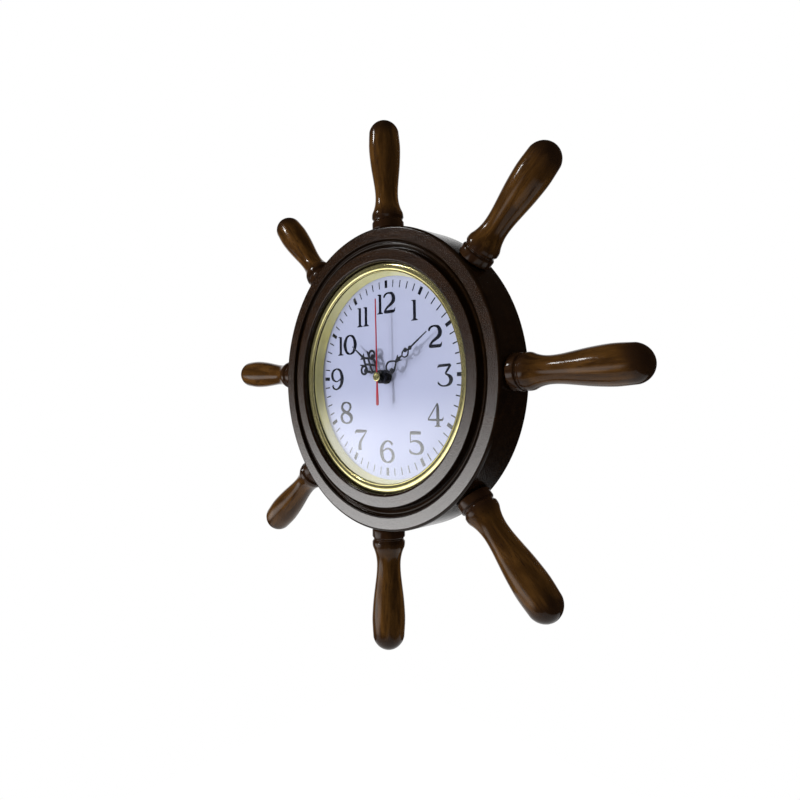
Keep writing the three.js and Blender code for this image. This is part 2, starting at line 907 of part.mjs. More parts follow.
function openworkHand(name, bars, rings, length, bore, height, turn) {
  const back = dialDepth - height;
  const front = back - handThickness;
  const solid = joined([
    plate(hub(bore), front, back),
    ...bars.map((shares) => plate(handBar(shares, length), front, back)),
    ...rings.map((shares) => plate(handRing(shares, length), front, back)),
  ]);
  const mesh = piece(name, geometryOf(solid), "blackPaint");
  mesh.rotation.y = radians(turn);
  return mesh;
}

function secondHand() {
  const outline = new THREE.Shape();
  outline.moveTo(-secondTipWidth / 2, secondHandLength);
  outline.lineTo(-secondTailWidth / 2, secondTailWidth - secondTailLength);
  outline.absarc(0, secondTailWidth - secondTailLength, secondTailWidth / 2, Math.PI, 2 * Math.PI);
  outline.lineTo(secondTipWidth / 2, secondHandLength);
  const mesh = piece(
    "second_hand",
    plate(outline, secondHandFront, secondHandFront + secondHandThickness),
    "redPaint",
  );
  mesh.rotation.y = radians(secondHandAngle);
  return mesh;
}

function handFittings() {
  const collarFront = secondHandFront + secondHandThickness + seatGap;
  const capBack = secondHandFront - seatGap;
  const cap = turned(
    [
      [0, capBack - secondCapThickness],
      [secondCapRadius - secondCapThickness, capBack - secondCapThickness],
      [secondCapRadius, capBack - secondCapThickness / 2],
      [secondCapRadius, capBack],
      [0, capBack],
    ],
    smallFacets,
  );
  return [
    piece("second_hand_cap", cap, "brass"),
    piece(
      "second_hand_collar",
      tube(
        minutePipeInner,
        secondCollarRadius,
        collarFront,
        minuteHandFront - seatGap,
        smallFacets,
      ),
      "blackPaint",
    ),
  ];
}

function hands() {
  const group = new THREE.Group();
  group.add(
    openworkHand(
      "hour_hand",
      [...hourHalfShares, ...hourHalfShares.map(mirroredShares), ...hourMiddleShares],
      hourRingShares,
      hourHandLength,
      hourTubeRadius + seatGap,
      hourHandHeight,
      hourHandAngle,
    ),
    openworkHand(
      "minute_hand",
      minuteBarShares,
      minuteRingShares,
      minuteHandLength,
      minutePipeRadius + seatGap,
      minuteHandHeight,
      minuteHandAngle,
    ),
    secondHand(),
    ...handFittings(),
  );
  return group;
}

// Movement housing: a tray with the threaded bushing, gear room and battery bay, and its rear cover
const movementHalf = movementWidth / 2;
const roomHalf = movementHalf - movementWall;
const roomTop = movementAbove - movementWall;
const coverLow = -gearRoomBelow - movementWall;
const bayTop = coverLow;
const bayLow = bayTop - batteryBayHeight;
const movementLow = bayLow - movementWall;

function pivotWells(front, back, places) {
  return places.map((place) => bar(arborRadius + runningGap, front, back, fineFacets, place));
}

function movementTray() {
  const shell = plate(
    roundedRectangle([-movementHalf, movementLow], [movementHalf, movementAbove], trayCorner),
    trayDepth,
    roomBack,
    cornerSteps,
  );
  const hollowed = cutBy(solidOf(shell), [
    block([-roomHalf, -gearRoomBelow], [roomHalf, roomTop], roomFront, roomBack + cutOverrun),
    block([-roomHalf, bayLow], [roomHalf, bayTop], roomFront, roomBack + cutOverrun),
    ...pivotWells(
      roomFront - pivotWell,
      roomFront + cutOverrun,
      [thirdPlace, intermediatePlace, rotorPlace, knobPlace],
    ),
  ]);
  const posted = hollowed
    .add(solidOf(bar(bushingRadius, bushingDepth, trayDepth + movementWall / 2, smallFacets)))
    .add(
      solidOf(
        bar(postRadius, trayDepth + movementWall / 2, centreLevel - levelGap, fineFacets, reductionPlace),
      ),
    );
  const bored = cutBy(posted, [
    bar(bushingInner, bushingDepth - cutOverrun, roomFront + cutOverrun, smallFacets),
  ]);
  return piece("movement_tray", geometryOf(bored), "casePlastic");
}

function movementCover() {
  const lid = plate(
    roundedRectangle([-movementHalf, coverLow], [movementHalf, movementAbove], trayCorner),
    coverFront,
    coverBack,
    cornerSteps,
  );
  const cut = cutBy(solidOf(lid), [
    ...pivotWells(
      coverFront - cutOverrun,
      coverFront + pivotWell,
      [centre, thirdPlace, intermediatePlace, rotorPlace],
    ),
    bar(
      knobShaftRadius + runningGap,
      coverFront - cutOverrun,
      coverBack + cutOverrun,
      smallFacets,
      knobPlace,
    ),
  ]);
  return piece("movement_cover", geometryOf(cut), "casePlastic");
}

// Stepping motor: a laminated yoke round the rotor, and a coil on a flat core across its two arms
const [rotorX, rotorZ] = rotorPlace;
const statorHole = magnetRadius + statorHoleGap;
const statorRight = roomHalf - seatGap;
const coilX = statorRight - coilRadius;
const statorFront = (magnetFront + magnetBack - statorThickness) / 2;
const coreFront = statorFront + statorThickness + seatGap;

function stator() {
  const left = rotorX - statorHole - statorWeb;
  const window = rotorX + statorHole + statorWeb;
  const outline = polygon([
    [left, rotorZ - statorHalfHeight],
    [statorRight, rotorZ - statorHalfHeight],
    [statorRight, rotorZ - statorHalfHeight + statorArm],
    [window, rotorZ - statorHalfHeight + statorArm],
    [window, rotorZ + statorHalfHeight - statorArm],
    [statorRight, rotorZ + statorHalfHeight - statorArm],
    [statorRight, rotorZ + statorHalfHeight],
    [left, rotorZ + statorHalfHeight],
  ]);
  outline.holes.push(new THREE.Path().absarc(rotorX, rotorZ, statorHole, 0, 2 * Math.PI, true));
  return piece("stator", plate(outline, statorFront, statorFront + statorThickness), "steel");
}

function coil() {
  const half = coilLength / 2;
  const winding = coilRadius - coilFlange;
  const profile = [
    [0, -half],
    [coilRadius, -half],
    [coilRadius, coilFlange - half],
    [winding, coilFlange - half],
    [winding, half - coilFlange],
    [coilRadius, half - coilFlange],
    [coilRadius, half],
    [0, half],
  ].map(([radius, along]) => new THREE.Vector2(radius, along));
  const bobbin = new THREE.LatheGeometry(profile, smallFacets).rotateX(Math.PI / 2);
  bobbin.translate(coilX, atDepth(coreFront + statorThickness / 2), rotorZ);
  const core = block(
    [coilX - coreWidth / 2, rotorZ - statorHalfHeight],
    [coilX + coreWidth / 2, rotorZ + statorHalfHeight],
    coreFront,
    coreFront + statorThickness,
  );
  return piece("coil", geometryOf(joined([bobbin, core])), "copper");
}

// Board with the time base, in the gear room's left end against the cover
function boardAndCrystal() {
  const boardBack = coverFront - seatGap;
  const boardFront = boardBack - boardThickness;
  const left = seatGap - roomHalf;
  const low = seatGap - gearRoomBelow;
  const crystal = new THREE.CylinderGeometry(crystalRadius, crystalRadius, crystalLength, fineFacets);
  crystal.rotateZ(Math.PI / 2);
  crystal.translate(
    left + boardWidth / 2,
    atDepth(boardFront - seatGap - crystalRadius),
    low + 2 * crystalRadius,
  );
  return [
    piece(
      "circuit_board",
      block([left, low], [left + boardWidth, low + boardHeight], boardFront, boardBack),
      "board",
    ),
    piece("quartz_crystal", crystal, "steel"),
  ];
}

// Battery between two spring contacts
function battery() {
  const half = batteryLength / 2;
  const cell = new THREE.LatheGeometry(
    [
      [0, -half],
      [batteryRadius, -half],
      [batteryRadius, half],
      [batteryNubRadius, half],
      [batteryNubRadius, half + batteryNubLength],
      [0, half + batteryNubLength],
    ].map(([radius, along]) => new THREE.Vector2(radius, along)),
    cellFacets,
  );
  cell.rotateZ(-Math.PI / 2);
  const bayMiddle = (bayLow + bayTop) / 2;
  const depth = roomFront + seatGap + batteryRadius;
  cell.translate(-batteryNubLength / 2, atDepth(depth), bayMiddle);
  const contact = (name, side) => {
    const wall = side * (roomHalf - seatGap);
    const face = wall - side * contactThickness;
    const bumpEnd = side * (half + batteryNubLength / 2 + seatGap);
    const leaf = block(
      [Math.min(wall, face), bayMiddle - contactHeight / 2],
      [Math.max(wall, face), bayMiddle + contactHeight / 2],
      depth - contactHeight / 2,
      depth + contactHeight / 2,
    );
    const reach = Math.abs(face - bumpEnd) + contactThickness / 2;
    const bump = new THREE.CylinderGeometry(contactBumpRadius, contactBumpRadius, reach, fineFacets);
    bump.rotateZ(Math.PI / 2);
    bump.translate(bumpEnd + (side * reach) / 2, atDepth(depth), bayMiddle);
    return piece(name, geometryOf(joined([leaf, bump])), "steel");
  };
  return [
    piece("battery_cell", cell, "battery"),
    contact("contact_positive", 1),
    contact("contact_negative", -1),
  ];
}

function movement() {
  const group = new THREE.Group();
  const nutRadius = nutAcross / 2 / Math.cos(Math.PI / hexFacets);
  const nut = bar(nutRadius, nutDepth - nutThickness, nutDepth, hexFacets);
  const nutHole = bar(
    bushingRadius + seatGap,
    nutDepth - nutThickness - cutOverrun,
    nutDepth + cutOverrun,
    smallFacets,
  );
  group.add(
    movementTray(),
    movementCover(),
    piece(
      "rubber_washer",
      tube(throatRadius, rubberWasherRadius, rubberDepth, rubberDepth + rubberWasherThickness, smallFacets),
      "rubber",
    ),
    piece(
      "dial_washer",
      tube(throatRadius, washerRadius, washerDepth - washerThickness, washerDepth, smallFacets),
      "brass",
    ),
    piece("hex_nut", geometryOf(cutBy(solidOf(nut), [nutHole])), "brass"),
    rotor(),
    intermediateWheel(),
    secondWheel(),
    thirdWheel(),
    centreWheel(),
    cannonPinion(),
    reductionWheel(),
    hourWheel(),
    settingKnob(),
    stator(),
    coil(),
    ...boardAndCrystal(),
    ...battery(),
  );
  return group;
}

// Keyhole plate let into the back of the rim, and its two wood screws
function hanger() {
  const outline = roundedRectangle(
    [-plateWidth / 2, plateCentre - plateHeight / 2],
    [plateWidth / 2, plateCentre + plateHeight / 2],
    plateCorner,
  );
  const screwPlaces = [-1, 1].map((side) => [side * screwReach, plateCentre]);
  const front = plateDepth - cutOverrun;
  const back = rimDepth + cutOverrun;
  const countersink = (radius, headRadius, grow, [x, z]) => {
    const cone = new THREE.CylinderGeometry(
      headRadius + grow,
      radius + grow,
      plateThickness,
      smallFacets,
    );
    return cone.translate(x, atDepth(rimDepth - plateThickness / 2), z);
  };
  const keyhole = cutBy(solidOf(plate(outline, plateDepth, rimDepth, cornerSteps)), [
    bar(keyholeRadius, front, back, smallFacets, [0, plateCentre - keyholeDrop]),
    bar(keySlotRadius, front, back, fineFacets, [0, plateCentre + keySlotRise]),
    block(
      [-keySlotRadius, plateCentre - keyholeDrop],
      [keySlotRadius, plateCentre + keySlotRise],
      front,
      back,
    ),
    ...screwPlaces.map((place) => countersink(screwRadius, screwHeadRadius, seatGap, place)),
    ...screwPlaces.map((place) =>
      bar(screwRadius + seatGap, front, back, smallFacets, place),
    ),
  ]);
  const screws = screwPlaces.map((place, index) => {
    const solid = joined([
      countersink(screwRadius, screwHeadRadius, 0, place),
      bar(screwRadius, rimDepth - screwLength, rimDepth - plateThickness / 2, fineFacets, place),
    ]);
    return piece(`hanger_screw_${index + 1}`, geometryOf(solid), "steel");
  });
  return [piece("hanger_plate", geometryOf(keyhole), "steel"), ...screws];
}

const group = new THREE.Group();
group.add(
  wheelRim(),
  ...Array.from({ length: handleCount }, (_, index) => handle(index)),
  dialAndCase(),
  hands(),
  movement(),
  ...hanger(),
);

export default group;
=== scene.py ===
import math

import bpy
from mathutils import Matrix, Quaternion, Vector


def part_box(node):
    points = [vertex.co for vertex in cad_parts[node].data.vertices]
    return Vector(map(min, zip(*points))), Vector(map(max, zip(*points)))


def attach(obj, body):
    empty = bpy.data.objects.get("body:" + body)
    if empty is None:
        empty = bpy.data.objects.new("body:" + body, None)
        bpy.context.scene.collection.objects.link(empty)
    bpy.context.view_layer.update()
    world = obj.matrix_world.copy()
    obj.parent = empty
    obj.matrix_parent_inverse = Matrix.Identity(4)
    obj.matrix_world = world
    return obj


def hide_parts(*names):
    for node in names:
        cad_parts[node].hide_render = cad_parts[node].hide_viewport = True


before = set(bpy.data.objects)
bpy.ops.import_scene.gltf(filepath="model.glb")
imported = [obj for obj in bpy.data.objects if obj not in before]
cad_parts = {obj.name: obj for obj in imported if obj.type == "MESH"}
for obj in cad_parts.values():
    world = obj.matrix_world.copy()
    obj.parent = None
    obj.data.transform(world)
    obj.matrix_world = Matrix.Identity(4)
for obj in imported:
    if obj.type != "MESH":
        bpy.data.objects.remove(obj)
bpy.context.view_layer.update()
bpy.ops.object.select_all(action="DESELECT")

# Camera
# It stands to the right of the clock at dial height, and looks at the dial at about 47 degrees.
# The shift keeps the level camera's horizon above the middle of the picture.
camera_place = Vector((0.3314, -0.3262, -0.0029))
camera_aim = Vector((0.02251, -0.0145, 0.01898))
camera_roll = math.radians(0.54)
bpy.ops.object.camera_add(location=camera_place)
camera = bpy.context.object
camera.rotation_mode = "QUATERNION"
facing = (camera_aim - camera_place).to_track_quat("-Z", "Y")
camera.rotation_quaternion = facing @ Quaternion((0, 0, 1), camera_roll)
camera.data.lens = 27.66
camera.data.sensor_width = 36
camera.data.shift_x = 0.0034
camera.data.shift_y = -0.0622
camera.data.clip_start = 0.01
bpy.context.scene.camera = camera

# Studio
# A small lamp at the left throws the hands' shadows, wide soft ones fill front and back, and tiny ones
# spark on the lacquer. The world is a white backdrop, with a window that only gloss shows.
bpy.context.scene.view_settings.view_transform = "Standard"


def lamp(name, place, width, height, power, shines=False):
    """A lamp that looks at the clock. One that shines is seen in gloss only, the others never are."""
    bpy.ops.object.light_add(type="AREA", location=place)
    light = bpy.context.object
    light.name = name
    light.rotation_mode = "QUATERNION"
    light.rotation_quaternion = (-Vector(place)).to_track_quat("-Z", "Y")
    light.data.shape = "RECTANGLE"
    light.data.size = width
    light.data.size_y = height
    light.data.energy = power
    light.visible_camera = False
    light.visible_glossy = shines
    light.visible_diffuse = not shines
    light.visible_transmission = False


lamp("dial_lamp", (-0.442, -0.714, -0.143), 0.09, 0.09, 3.8)
lamp("soft_lamp", (-1.1, -1.7, 0.5), 1.4, 1.2, 20)
lamp("back_lamp", (0.1, 2.0, 0.9), 1.6, 1.2, 60)
lamp("low_spark", (-0.7, -0.45, -0.95), 0.12, 0.12, 5, shines=True)
lamp("high_spark", (-0.6, -0.6, 0.62), 0.1, 0.14, 2, shines=True)

world = bpy.data.worlds.new("studio")
bpy.context.scene.world = world
world.use_nodes = True
world.cycles.sampling_method = "NONE"
sky = world.node_tree
sky.nodes.clear()
sky_out = sky.nodes.new("ShaderNodeOutputWorld")
sky_light = sky.nodes.new("ShaderNodeBackground")
sky_light.inputs["Color"].default_value = (1, 1, 1, 1)
rays = sky.nodes.new("ShaderNodeLightPath")
ways = sky.nodes.new("ShaderNodeTexCoord")


def sky_patch(source, start, end, out_start, out_end):
    """A part of the world that fades in between two heights or directions."""
    patch = sky.nodes.new("ShaderNodeMapRange")
    patch.interpolation_type = "SMOOTHSTEP"
    patch.inputs["From Min"].default_value = start
    patch.inputs["From Max"].default_value = end
    patch.inputs["To Min"].default_value = out_start
    patch.inputs["To Max"].default_value = out_end
    sky.links.new(source, patch.inputs["Value"])
    return patch.outputs["Result"]


def toward(direction):
    """How nearly a ray of the world runs in a direction."""
    dot = sky.nodes.new("ShaderNodeVectorMath")
    dot.operation = "DOT_PRODUCT"
    dot.inputs[1].default_value = direction
    sky.links.new(ways.outputs["Generated"], dot.inputs[0])
    return dot.outputs["Value"]


def sky_math(operation, first, second):
    """One step of arithmetic in the world, on two sockets or values."""
    node = sky.nodes.new("ShaderNodeMath")
    node.operation = operation
    for value, socket in zip((first, second), node.inputs):
        if isinstance(value, bpy.types.NodeSocket):
            sky.links.new(value, socket)
        else:
            socket.default_value = value
    return node.outputs["Value"]


dim_room = 0.012
soft_daylight = 0.32
window_light = 2.65
white = 1.0
backdrop = sky_patch(toward((-0.728, 0.685, 0)), 0.72, 0.93, dim_room, white)
window_height = sky_patch(toward((0, 0, 1)), -0.02, -0.25, 0.0, window_light)
window_foot = sky_patch(toward((0, 0, 1)), -0.58, -0.42, 0.0, 1.0)
window_side = sky_patch(toward((-0.65, -0.76, 0)), 0.8, 0.93, 0.0, 1.0)
window = sky_math("MULTIPLY", sky_math("MULTIPLY", window_height, window_foot), window_side)
shown = sky_math("ADD", backdrop, window)
ambient = sky.nodes.new("ShaderNodeMix")
ambient.inputs["A"].default_value = soft_daylight
seen = sky.nodes.new("ShaderNodeMix")
seen.inputs["B"].default_value = white
straight = sky_math("MAXIMUM", rays.outputs["Is Camera Ray"], rays.outputs["Is Transmission Ray"])
sky.links.new(rays.outputs["Is Glossy Ray"], ambient.inputs["Factor"])
sky.links.new(shown, ambient.inputs["B"])
sky.links.new(straight, seen.inputs["Factor"])
sky.links.new(ambient.outputs["Result"], seen.inputs["A"])
sky.links.new(seen.outputs["Result"], sky_light.inputs["Strength"])
sky.links.new(sky_light.outputs["Background"], sky_out.inputs["Surface"])

bpy.ops.mesh.primitive_plane_add(size=1.6, location=(0, 0, -0.75))
floor = bpy.context.object
floor.name = "studio_floor"
floor_paint = bpy.data.materials.new("floor_paint")
floor_paint.use_nodes = True
paint = floor_paint.node_tree
paint_base = paint.nodes["Principled BSDF"]
paint_base.inputs["Base Color"].default_value = (0.8, 0.8, 0.8, 1)
paint_base.inputs["Roughness"].default_value = 0.9
paint_glow = paint.nodes.new("ShaderNodeEmission")
paint_glow.inputs["Strength"].default_value = 1.05
paint_rays = paint.nodes.new("ShaderNodeLightPath")
paint_seen = paint.nodes.new("ShaderNodeMath")
paint_seen.operation = "MULTIPLY"
paint_seen.inputs[1].default_value = 0.92
paint_mix = paint.nodes.new("ShaderNodeMixShader")
paint.links.new(paint_rays.outputs["Is Camera Ray"], paint_seen.inputs[0])
paint.links.new(paint_seen.outputs["Value"], paint_mix.inputs["Fac"])
paint.links.new(paint_base.outputs["BSDF"], paint_mix.inputs[1])
paint.links.new(paint_glow.outputs["Emission"], paint_mix.inputs[2])
paint.links.new(paint_mix.outputs["Shader"], paint.nodes["Material Output"].inputs["Surface"])
floor.data.materials.append(floor_paint)

# Rim
# It is glued up from dark hardwood and turned on a faceplate: two flat rings with a cove, a bead and a
# groove between them, a ledged bore for the clock, and a socket for each handle.
body = "wheel"
mm = 0.001
gap = 0.3 * mm
rim_low, rim_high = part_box("wheel_rim")
rim_back = rim_high.y
ring_front = rim_low.y
rim_radius = rim_high.x
front = ring_front + 1.5 * mm
bore_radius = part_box("case_gasket")[1].x + gap
rebate_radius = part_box("bezel_ring")[1].x + gap
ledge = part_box("bezel_ring")[1].y + gap
inner_ring_radius = rebate_radius + 9.6 * mm
cove_radius = inner_ring_radius + 2.4 * mm
bead_radius = cove_radius + 3.1 * mm
groove_radius = bead_radius + 1.5 * mm


def arc(centre_radius, centre_depth, across, deep, first, last, steps):
    """Points of an elliptic arc in the (radius, depth) plane, between two angles in degrees."""
    turns = [math.radians(first + (last - first) * step / steps) for step in range(steps + 1)]
    return [(centre_radius + across * math.cos(t), centre_depth + deep * math.sin(t)) for t in turns]


def drawn(name, points):
    """An open chain of edges through the points, drawn by extruding one vertex after another."""
    bpy.ops.object.select_all(action="DESELECT")
    bpy.ops.mesh.primitive_plane_add(size=mm, location=points[0])
    piece = bpy.context.object
    piece.name = piece.data.name = name
    bpy.ops.object.mode_set(mode="EDIT")
    bpy.ops.mesh.merge(type="CENTER")
    for start, end in zip(points, points[1:]):
        step = Vector(end) - Vector(start)
        bpy.ops.mesh.extrude_vertices_move(TRANSFORM_OT_translate={"value": step})
    bpy.ops.object.mode_set(mode="OBJECT")
    bpy.ops.object.transform_apply()
    return piece


def tidy_mesh(piece, smooth_angle):
    """Doubles merged, faces turned outwards and soft edges shaded smooth."""
    bpy.ops.object.select_all(action="DESELECT")
    piece.select_set(True)
    bpy.context.view_layer.objects.active = piece
    bpy.ops.object.mode_set(mode="EDIT")
    bpy.ops.mesh.select_all(action="SELECT")
    bpy.ops.mesh.remove_doubles(threshold=0.002 * mm)
    bpy.ops.mesh.normals_make_consistent(inside=False)
    bpy.ops.object.mode_set(mode="OBJECT")
    bpy.ops.object.shade_smooth_by_angle(angle=math.radians(smooth_angle))
    return piece


def turned(name, profile, steps, smooth_angle):
    """A profile of (radius, depth) points turned about the clock's axis."""
    piece = drawn(name, [(radius, depth, 0) for radius, depth in profile])
    bpy.ops.object.mode_set(mode="EDIT")
    bpy.ops.mesh.select_all(action="SELECT")
    bpy.ops.mesh.spin(steps=steps, angle=2 * math.pi, center=(0, 0, 0), axis=(0, 1, 0))
    bpy.ops.object.mode_set(mode="OBJECT")
    return tidy_mesh(piece, smooth_angle)


def cut(piece, tool):
    """The tool's shape taken out of the piece."""
    bpy.ops.object.select_all(action="DESELECT")
    piece.select_set(True)
    bpy.context.view_layer.objects.active = piece
    cutter = piece.modifiers.new("cut", "BOOLEAN")
    cutter.operation = "DIFFERENCE"
    cutter.object = tool
    cutter.solver = "EXACT"
    bpy.ops.object.modifier_apply(modifier=cutter.name)
    bpy.data.objects.remove(tool)


cove_bottom = front + 4 * mm
cove_lip = ring_front + 2.2 * mm
bead_foot = front + 3.2 * mm
cove_centre = inner_ring_radius + 1.5 * mm
outline = [
    (bore_radius, ledge),
    (rebate_radius, ledge),
    *arc(rebate_radius + 1.8 * mm, ring_front + 1.8 * mm, 1.8 * mm, 1.8 * mm, 180, 270, 7),
    (rebate_radius + 2.2 * mm, ring_front),
    (inner_ring_radius - mm, ring_front),
    *arc(inner_ring_radius - 0.6 * mm, ring_front + 0.6 * mm, 0.6 * mm, 0.6 * mm, -90, 0, 5),
    *arc(cove_centre, cove_lip, 1.5 * mm, cove_bottom - cove_lip, 180, 90, 8),
    *arc(cove_radius + 1.55 * mm, bead_foot, 1.55 * mm, 1.6 * mm, 180, 360, 12),
    *arc(bead_radius, front + 0.4 * mm, 1.1 * mm, 2.4 * mm, 90, 0, 5),
    *arc(groove_radius + 0.3 * mm, front + 0.4 * mm, 0.4 * mm, 0.4 * mm, 180, 270, 4),
    (groove_radius + 0.7 * mm, front),
    (rim_radius - 2.4 * mm, front),
    *arc(rim_radius - 2 * mm, front + 2 * mm, 2 * mm, 2 * mm, -90, 0, 10),
    (rim_radius, front + 2.4 * mm),
    (rim_radius, rim_back - 1.9 * mm),
    *arc(rim_radius - 1.5 * mm, rim_back - 1.5 * mm, 1.5 * mm, 1.5 * mm, 0, 90, 8),
    (bore_radius + 0.5 * mm, rim_back),
    (bore_radius, rim_back - 0.5 * mm),
    (bore_radius, ledge),
]
rim = turned("turned_rim", outline, steps=256, smooth_angle=30)

handle_names = [f"handle_{number}" for number in range(1, 9)]


def handle_frame(node):
    """A matrix whose +Z runs out along the handle, with its origin at the tenon's end."""
    points = [vertex.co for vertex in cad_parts[node].data.vertices]
    tip = max(points, key=lambda point: point.length)
    reach = max((point - tip).length for point in points)
    ends = [point for point in points if (point - tip).length > reach - 0.05 * mm]
    root = sum(ends, Vector()) / len(ends)
    turn = math.atan2(tip.x - root.x, tip.z - root.z)
    return Matrix.Translation(root) @ Matrix.Rotation(turn, 4, "Y")


tenon_radius = 6 * mm
drill_length = 30 * mm
for name in handle_names:
    bpy.ops.mesh.primitive_cylinder_add(vertices=48, radius=tenon_radius + gap, depth=drill_length)
    drill = bpy.context.object
    drill.matrix_world = handle_frame(name) @ Matrix.Translation((0, 0, drill_length / 2 - gap))
    bpy.ops.object.transform_apply()
    cut(rim, drill)

plate_low, plate_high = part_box("hanger_plate")


def slab(name, low, high, corner=0):
    """A block between two corners, with its four edges along Y rounded where a corner radius is given."""
    bpy.ops.object.select_all(action="DESELECT")
    bpy.ops.mesh.primitive_cube_add(size=1, location=(Vector(low) + Vector(high)) / 2)
    piece = bpy.context.object
    piece.name = piece.data.name = name
    piece.scale = Vector(high) - Vector(low)
    bpy.ops.object.transform_apply()
    if corner:
        bpy.ops.object.mode_set(mode="EDIT")
        bpy.ops.mesh.select_all(action="DESELECT")
        bpy.ops.object.mode_set(mode="OBJECT")
        for edge in piece.data.edges:
            ends = [piece.data.vertices[index].co for index in edge.vertices]
            edge.select = abs(ends[0].y - ends[1].y) > mm * 0.1
        bpy.ops.object.mode_set(mode="EDIT")
        bpy.ops.mesh.select_mode(type="EDGE")
        bpy.ops.mesh.bevel(offset=corner, segments=5)
        bpy.ops.mesh.select_mode(type="VERT")
        bpy.ops.object.mode_set(mode="OBJECT")
    return piece


mortise_low = plate_low - Vector((gap, gap, gap))
mortise_high = Vector((plate_high.x + gap, rim_back + mm, plate_high.z + gap))
cut(rim, slab("mortise", mortise_low, mortise_high, corner=2.3 * mm))
plate_middle = (plate_low + plate_high) / 2
nail_pocket = Vector((7 * mm, 0, 7.5 * mm))
pocket_low = plate_middle - nail_pocket
pocket_low.y = plate_low.y - 6.8 * mm
cut(rim, slab("nail_pocket", pocket_low, plate_middle + nail_pocket))
pilot_radius = 1.8 * mm
pilot_length = 14 * mm
for name in ("hanger_screw_1", "hanger_screw_2"):
    screw_low, screw_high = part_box(name)
    bpy.ops.mesh.primitive_cylinder_add(
        vertices=24,
        radius=pilot_radius,
        depth=pilot_length,
        rotation=(math.pi / 2, 0, 0),
        location=(screw_low + screw_high) / 2,
    )
    pilot = bpy.context.object
    bpy.ops.object.transform_apply()
    cut(rim, pilot)
bpy.ops.object.shade_smooth_by_angle(angle=math.radians(30))


def mix_colour(tree, factor, first, second):
    """Two colours or sockets mixed by a factor socket or value."""
    node = tree.nodes.new("ShaderNodeMix")
    node.data_type = "RGBA"
    for value, name in ((factor, "Factor_Float"), (first, "A_Color"), (second, "B_Color")):
        socket = next(item for item in node.inputs if item.identifier == name)
        if isinstance(value, bpy.types.NodeSocket):
            tree.links.new(value, socket)
        else:
            socket.default_value = value
    return next(item for item in node.outputs if item.identifier == "Result_Color")


def ramp(tree, source, low, high, out_low=0.0, out_high=1.0):
    """A socket's value moved from one range to another, and kept in it."""
    node = tree.nodes.new("ShaderNodeMapRange")
    node.interpolation_type = "SMOOTHSTEP"
    node.inputs["From Min"].default_value = low
    node.inputs["From Max"].default_value = high
    node.inputs["To Min"].default_value = out_low
    node.inputs["To Max"].default_value = out_high
    tree.links.new(source, node.inputs["Value"])
    return node.outputs["Result"]


def noise(tree, vector, scale, detail, roughness, distortion):
    """Cloudy noise along a vector."""
    node = tree.nodes.new("ShaderNodeTexNoise")
    node.inputs["Scale"].default_value = scale
    node.inputs["Detail"].default_value = detail
    node.inputs["Roughness"].default_value = roughness
    node.inputs["Distortion"].default_value = distortion
    tree.links.new(vector, node.inputs["Vector"])
    return node.outputs["Fac"]


def stretched(tree, vector, scale):
    """A vector drawn out, so that what it carries grows long."""
    node = tree.nodes.new("ShaderNodeMapping")
    node.inputs["Scale"].default_value = scale
    tree.links.new(vector, node.inputs["Vector"])
    return node.outputs["Vector"]


# Wood grain, shared by the rim and the handles: long figure, fine pores and a little blotch of stain.
# The grain runs along Z of the vector that it is given.
grain = bpy.data.node_groups.new("wood_grain", "ShaderNodeTree")
grain.interface.new_socket("Vector", in_out="INPUT", socket_type="NodeSocketVector")
grain.interface.new_socket("Figure", in_out="OUTPUT", socket_type="NodeSocketFloat")
grain.interface.new_socket("Pores", in_out="OUTPUT", socket_type="NodeSocketFloat")
grain.interface.new_socket("Blotch", in_out="OUTPUT", socket_type="NodeSocketFloat")
grain_in = grain.nodes.new("NodeGroupInput")
grain_out = grain.nodes.new("NodeGroupOutput")
long_way = stretched(grain, grain_in.outputs["Vector"], (1.0, 1.0, 0.12))
longer_way = stretched(grain, grain_in.outputs["Vector"], (1.0, 1.0, 0.035))
grain.links.new(noise(grain, long_way, 190, 5, 0.6, 0.6), grain_out.inputs["Figure"])
grain.links.new(noise(grain, longer_way, 1500, 3, 0.5, 0.0), grain_out.inputs["Pores"])
grain.links.new(noise(grain, grain_in.outputs["Vector"], 45, 3, 0.5, 0.3), grain_out.inputs["Blotch"])

# Unevenness, shared by every finish: soft patches between two tones, or a gloss that varies a little.
patches = bpy.data.node_groups.new("surface_patches", "ShaderNodeTree")
patches.interface.new_socket("Vector", in_out="INPUT", socket_type="NodeSocketVector")
for name in ("Scale", "Detail", "Roughness", "Low", "High", "Least", "Most"):
    patches.interface.new_socket(name, in_out="INPUT", socket_type="NodeSocketFloat")
for name in ("Value", "Relief"):
    patches.interface.new_socket(name, in_out="OUTPUT", socket_type="NodeSocketFloat")
patches_in = patches.nodes.new("NodeGroupInput")
patches_out = patches.nodes.new("NodeGroupOutput")
cloud = patches.nodes.new("ShaderNodeTexNoise")
for name in ("Vector", "Scale", "Detail", "Roughness"):
    patches.links.new(patches_in.outputs[name], cloud.inputs[name])
spread = patches.nodes.new("ShaderNodeMapRange")
spread.interpolation_type = "SMOOTHSTEP"
for name, end in (("Low", "From Min"), ("High", "From Max"), ("Least", "To Min"), ("Most", "To Max")):
    patches.links.new(patches_in.outputs[name], spread.inputs[end])
patches.links.new(cloud.outputs["Fac"], spread.inputs["Value"])
patches.links.new(spread.outputs["Result"], patches_out.inputs["Value"])
patches.links.new(cloud.outputs["Fac"], patches_out.inputs["Relief"])


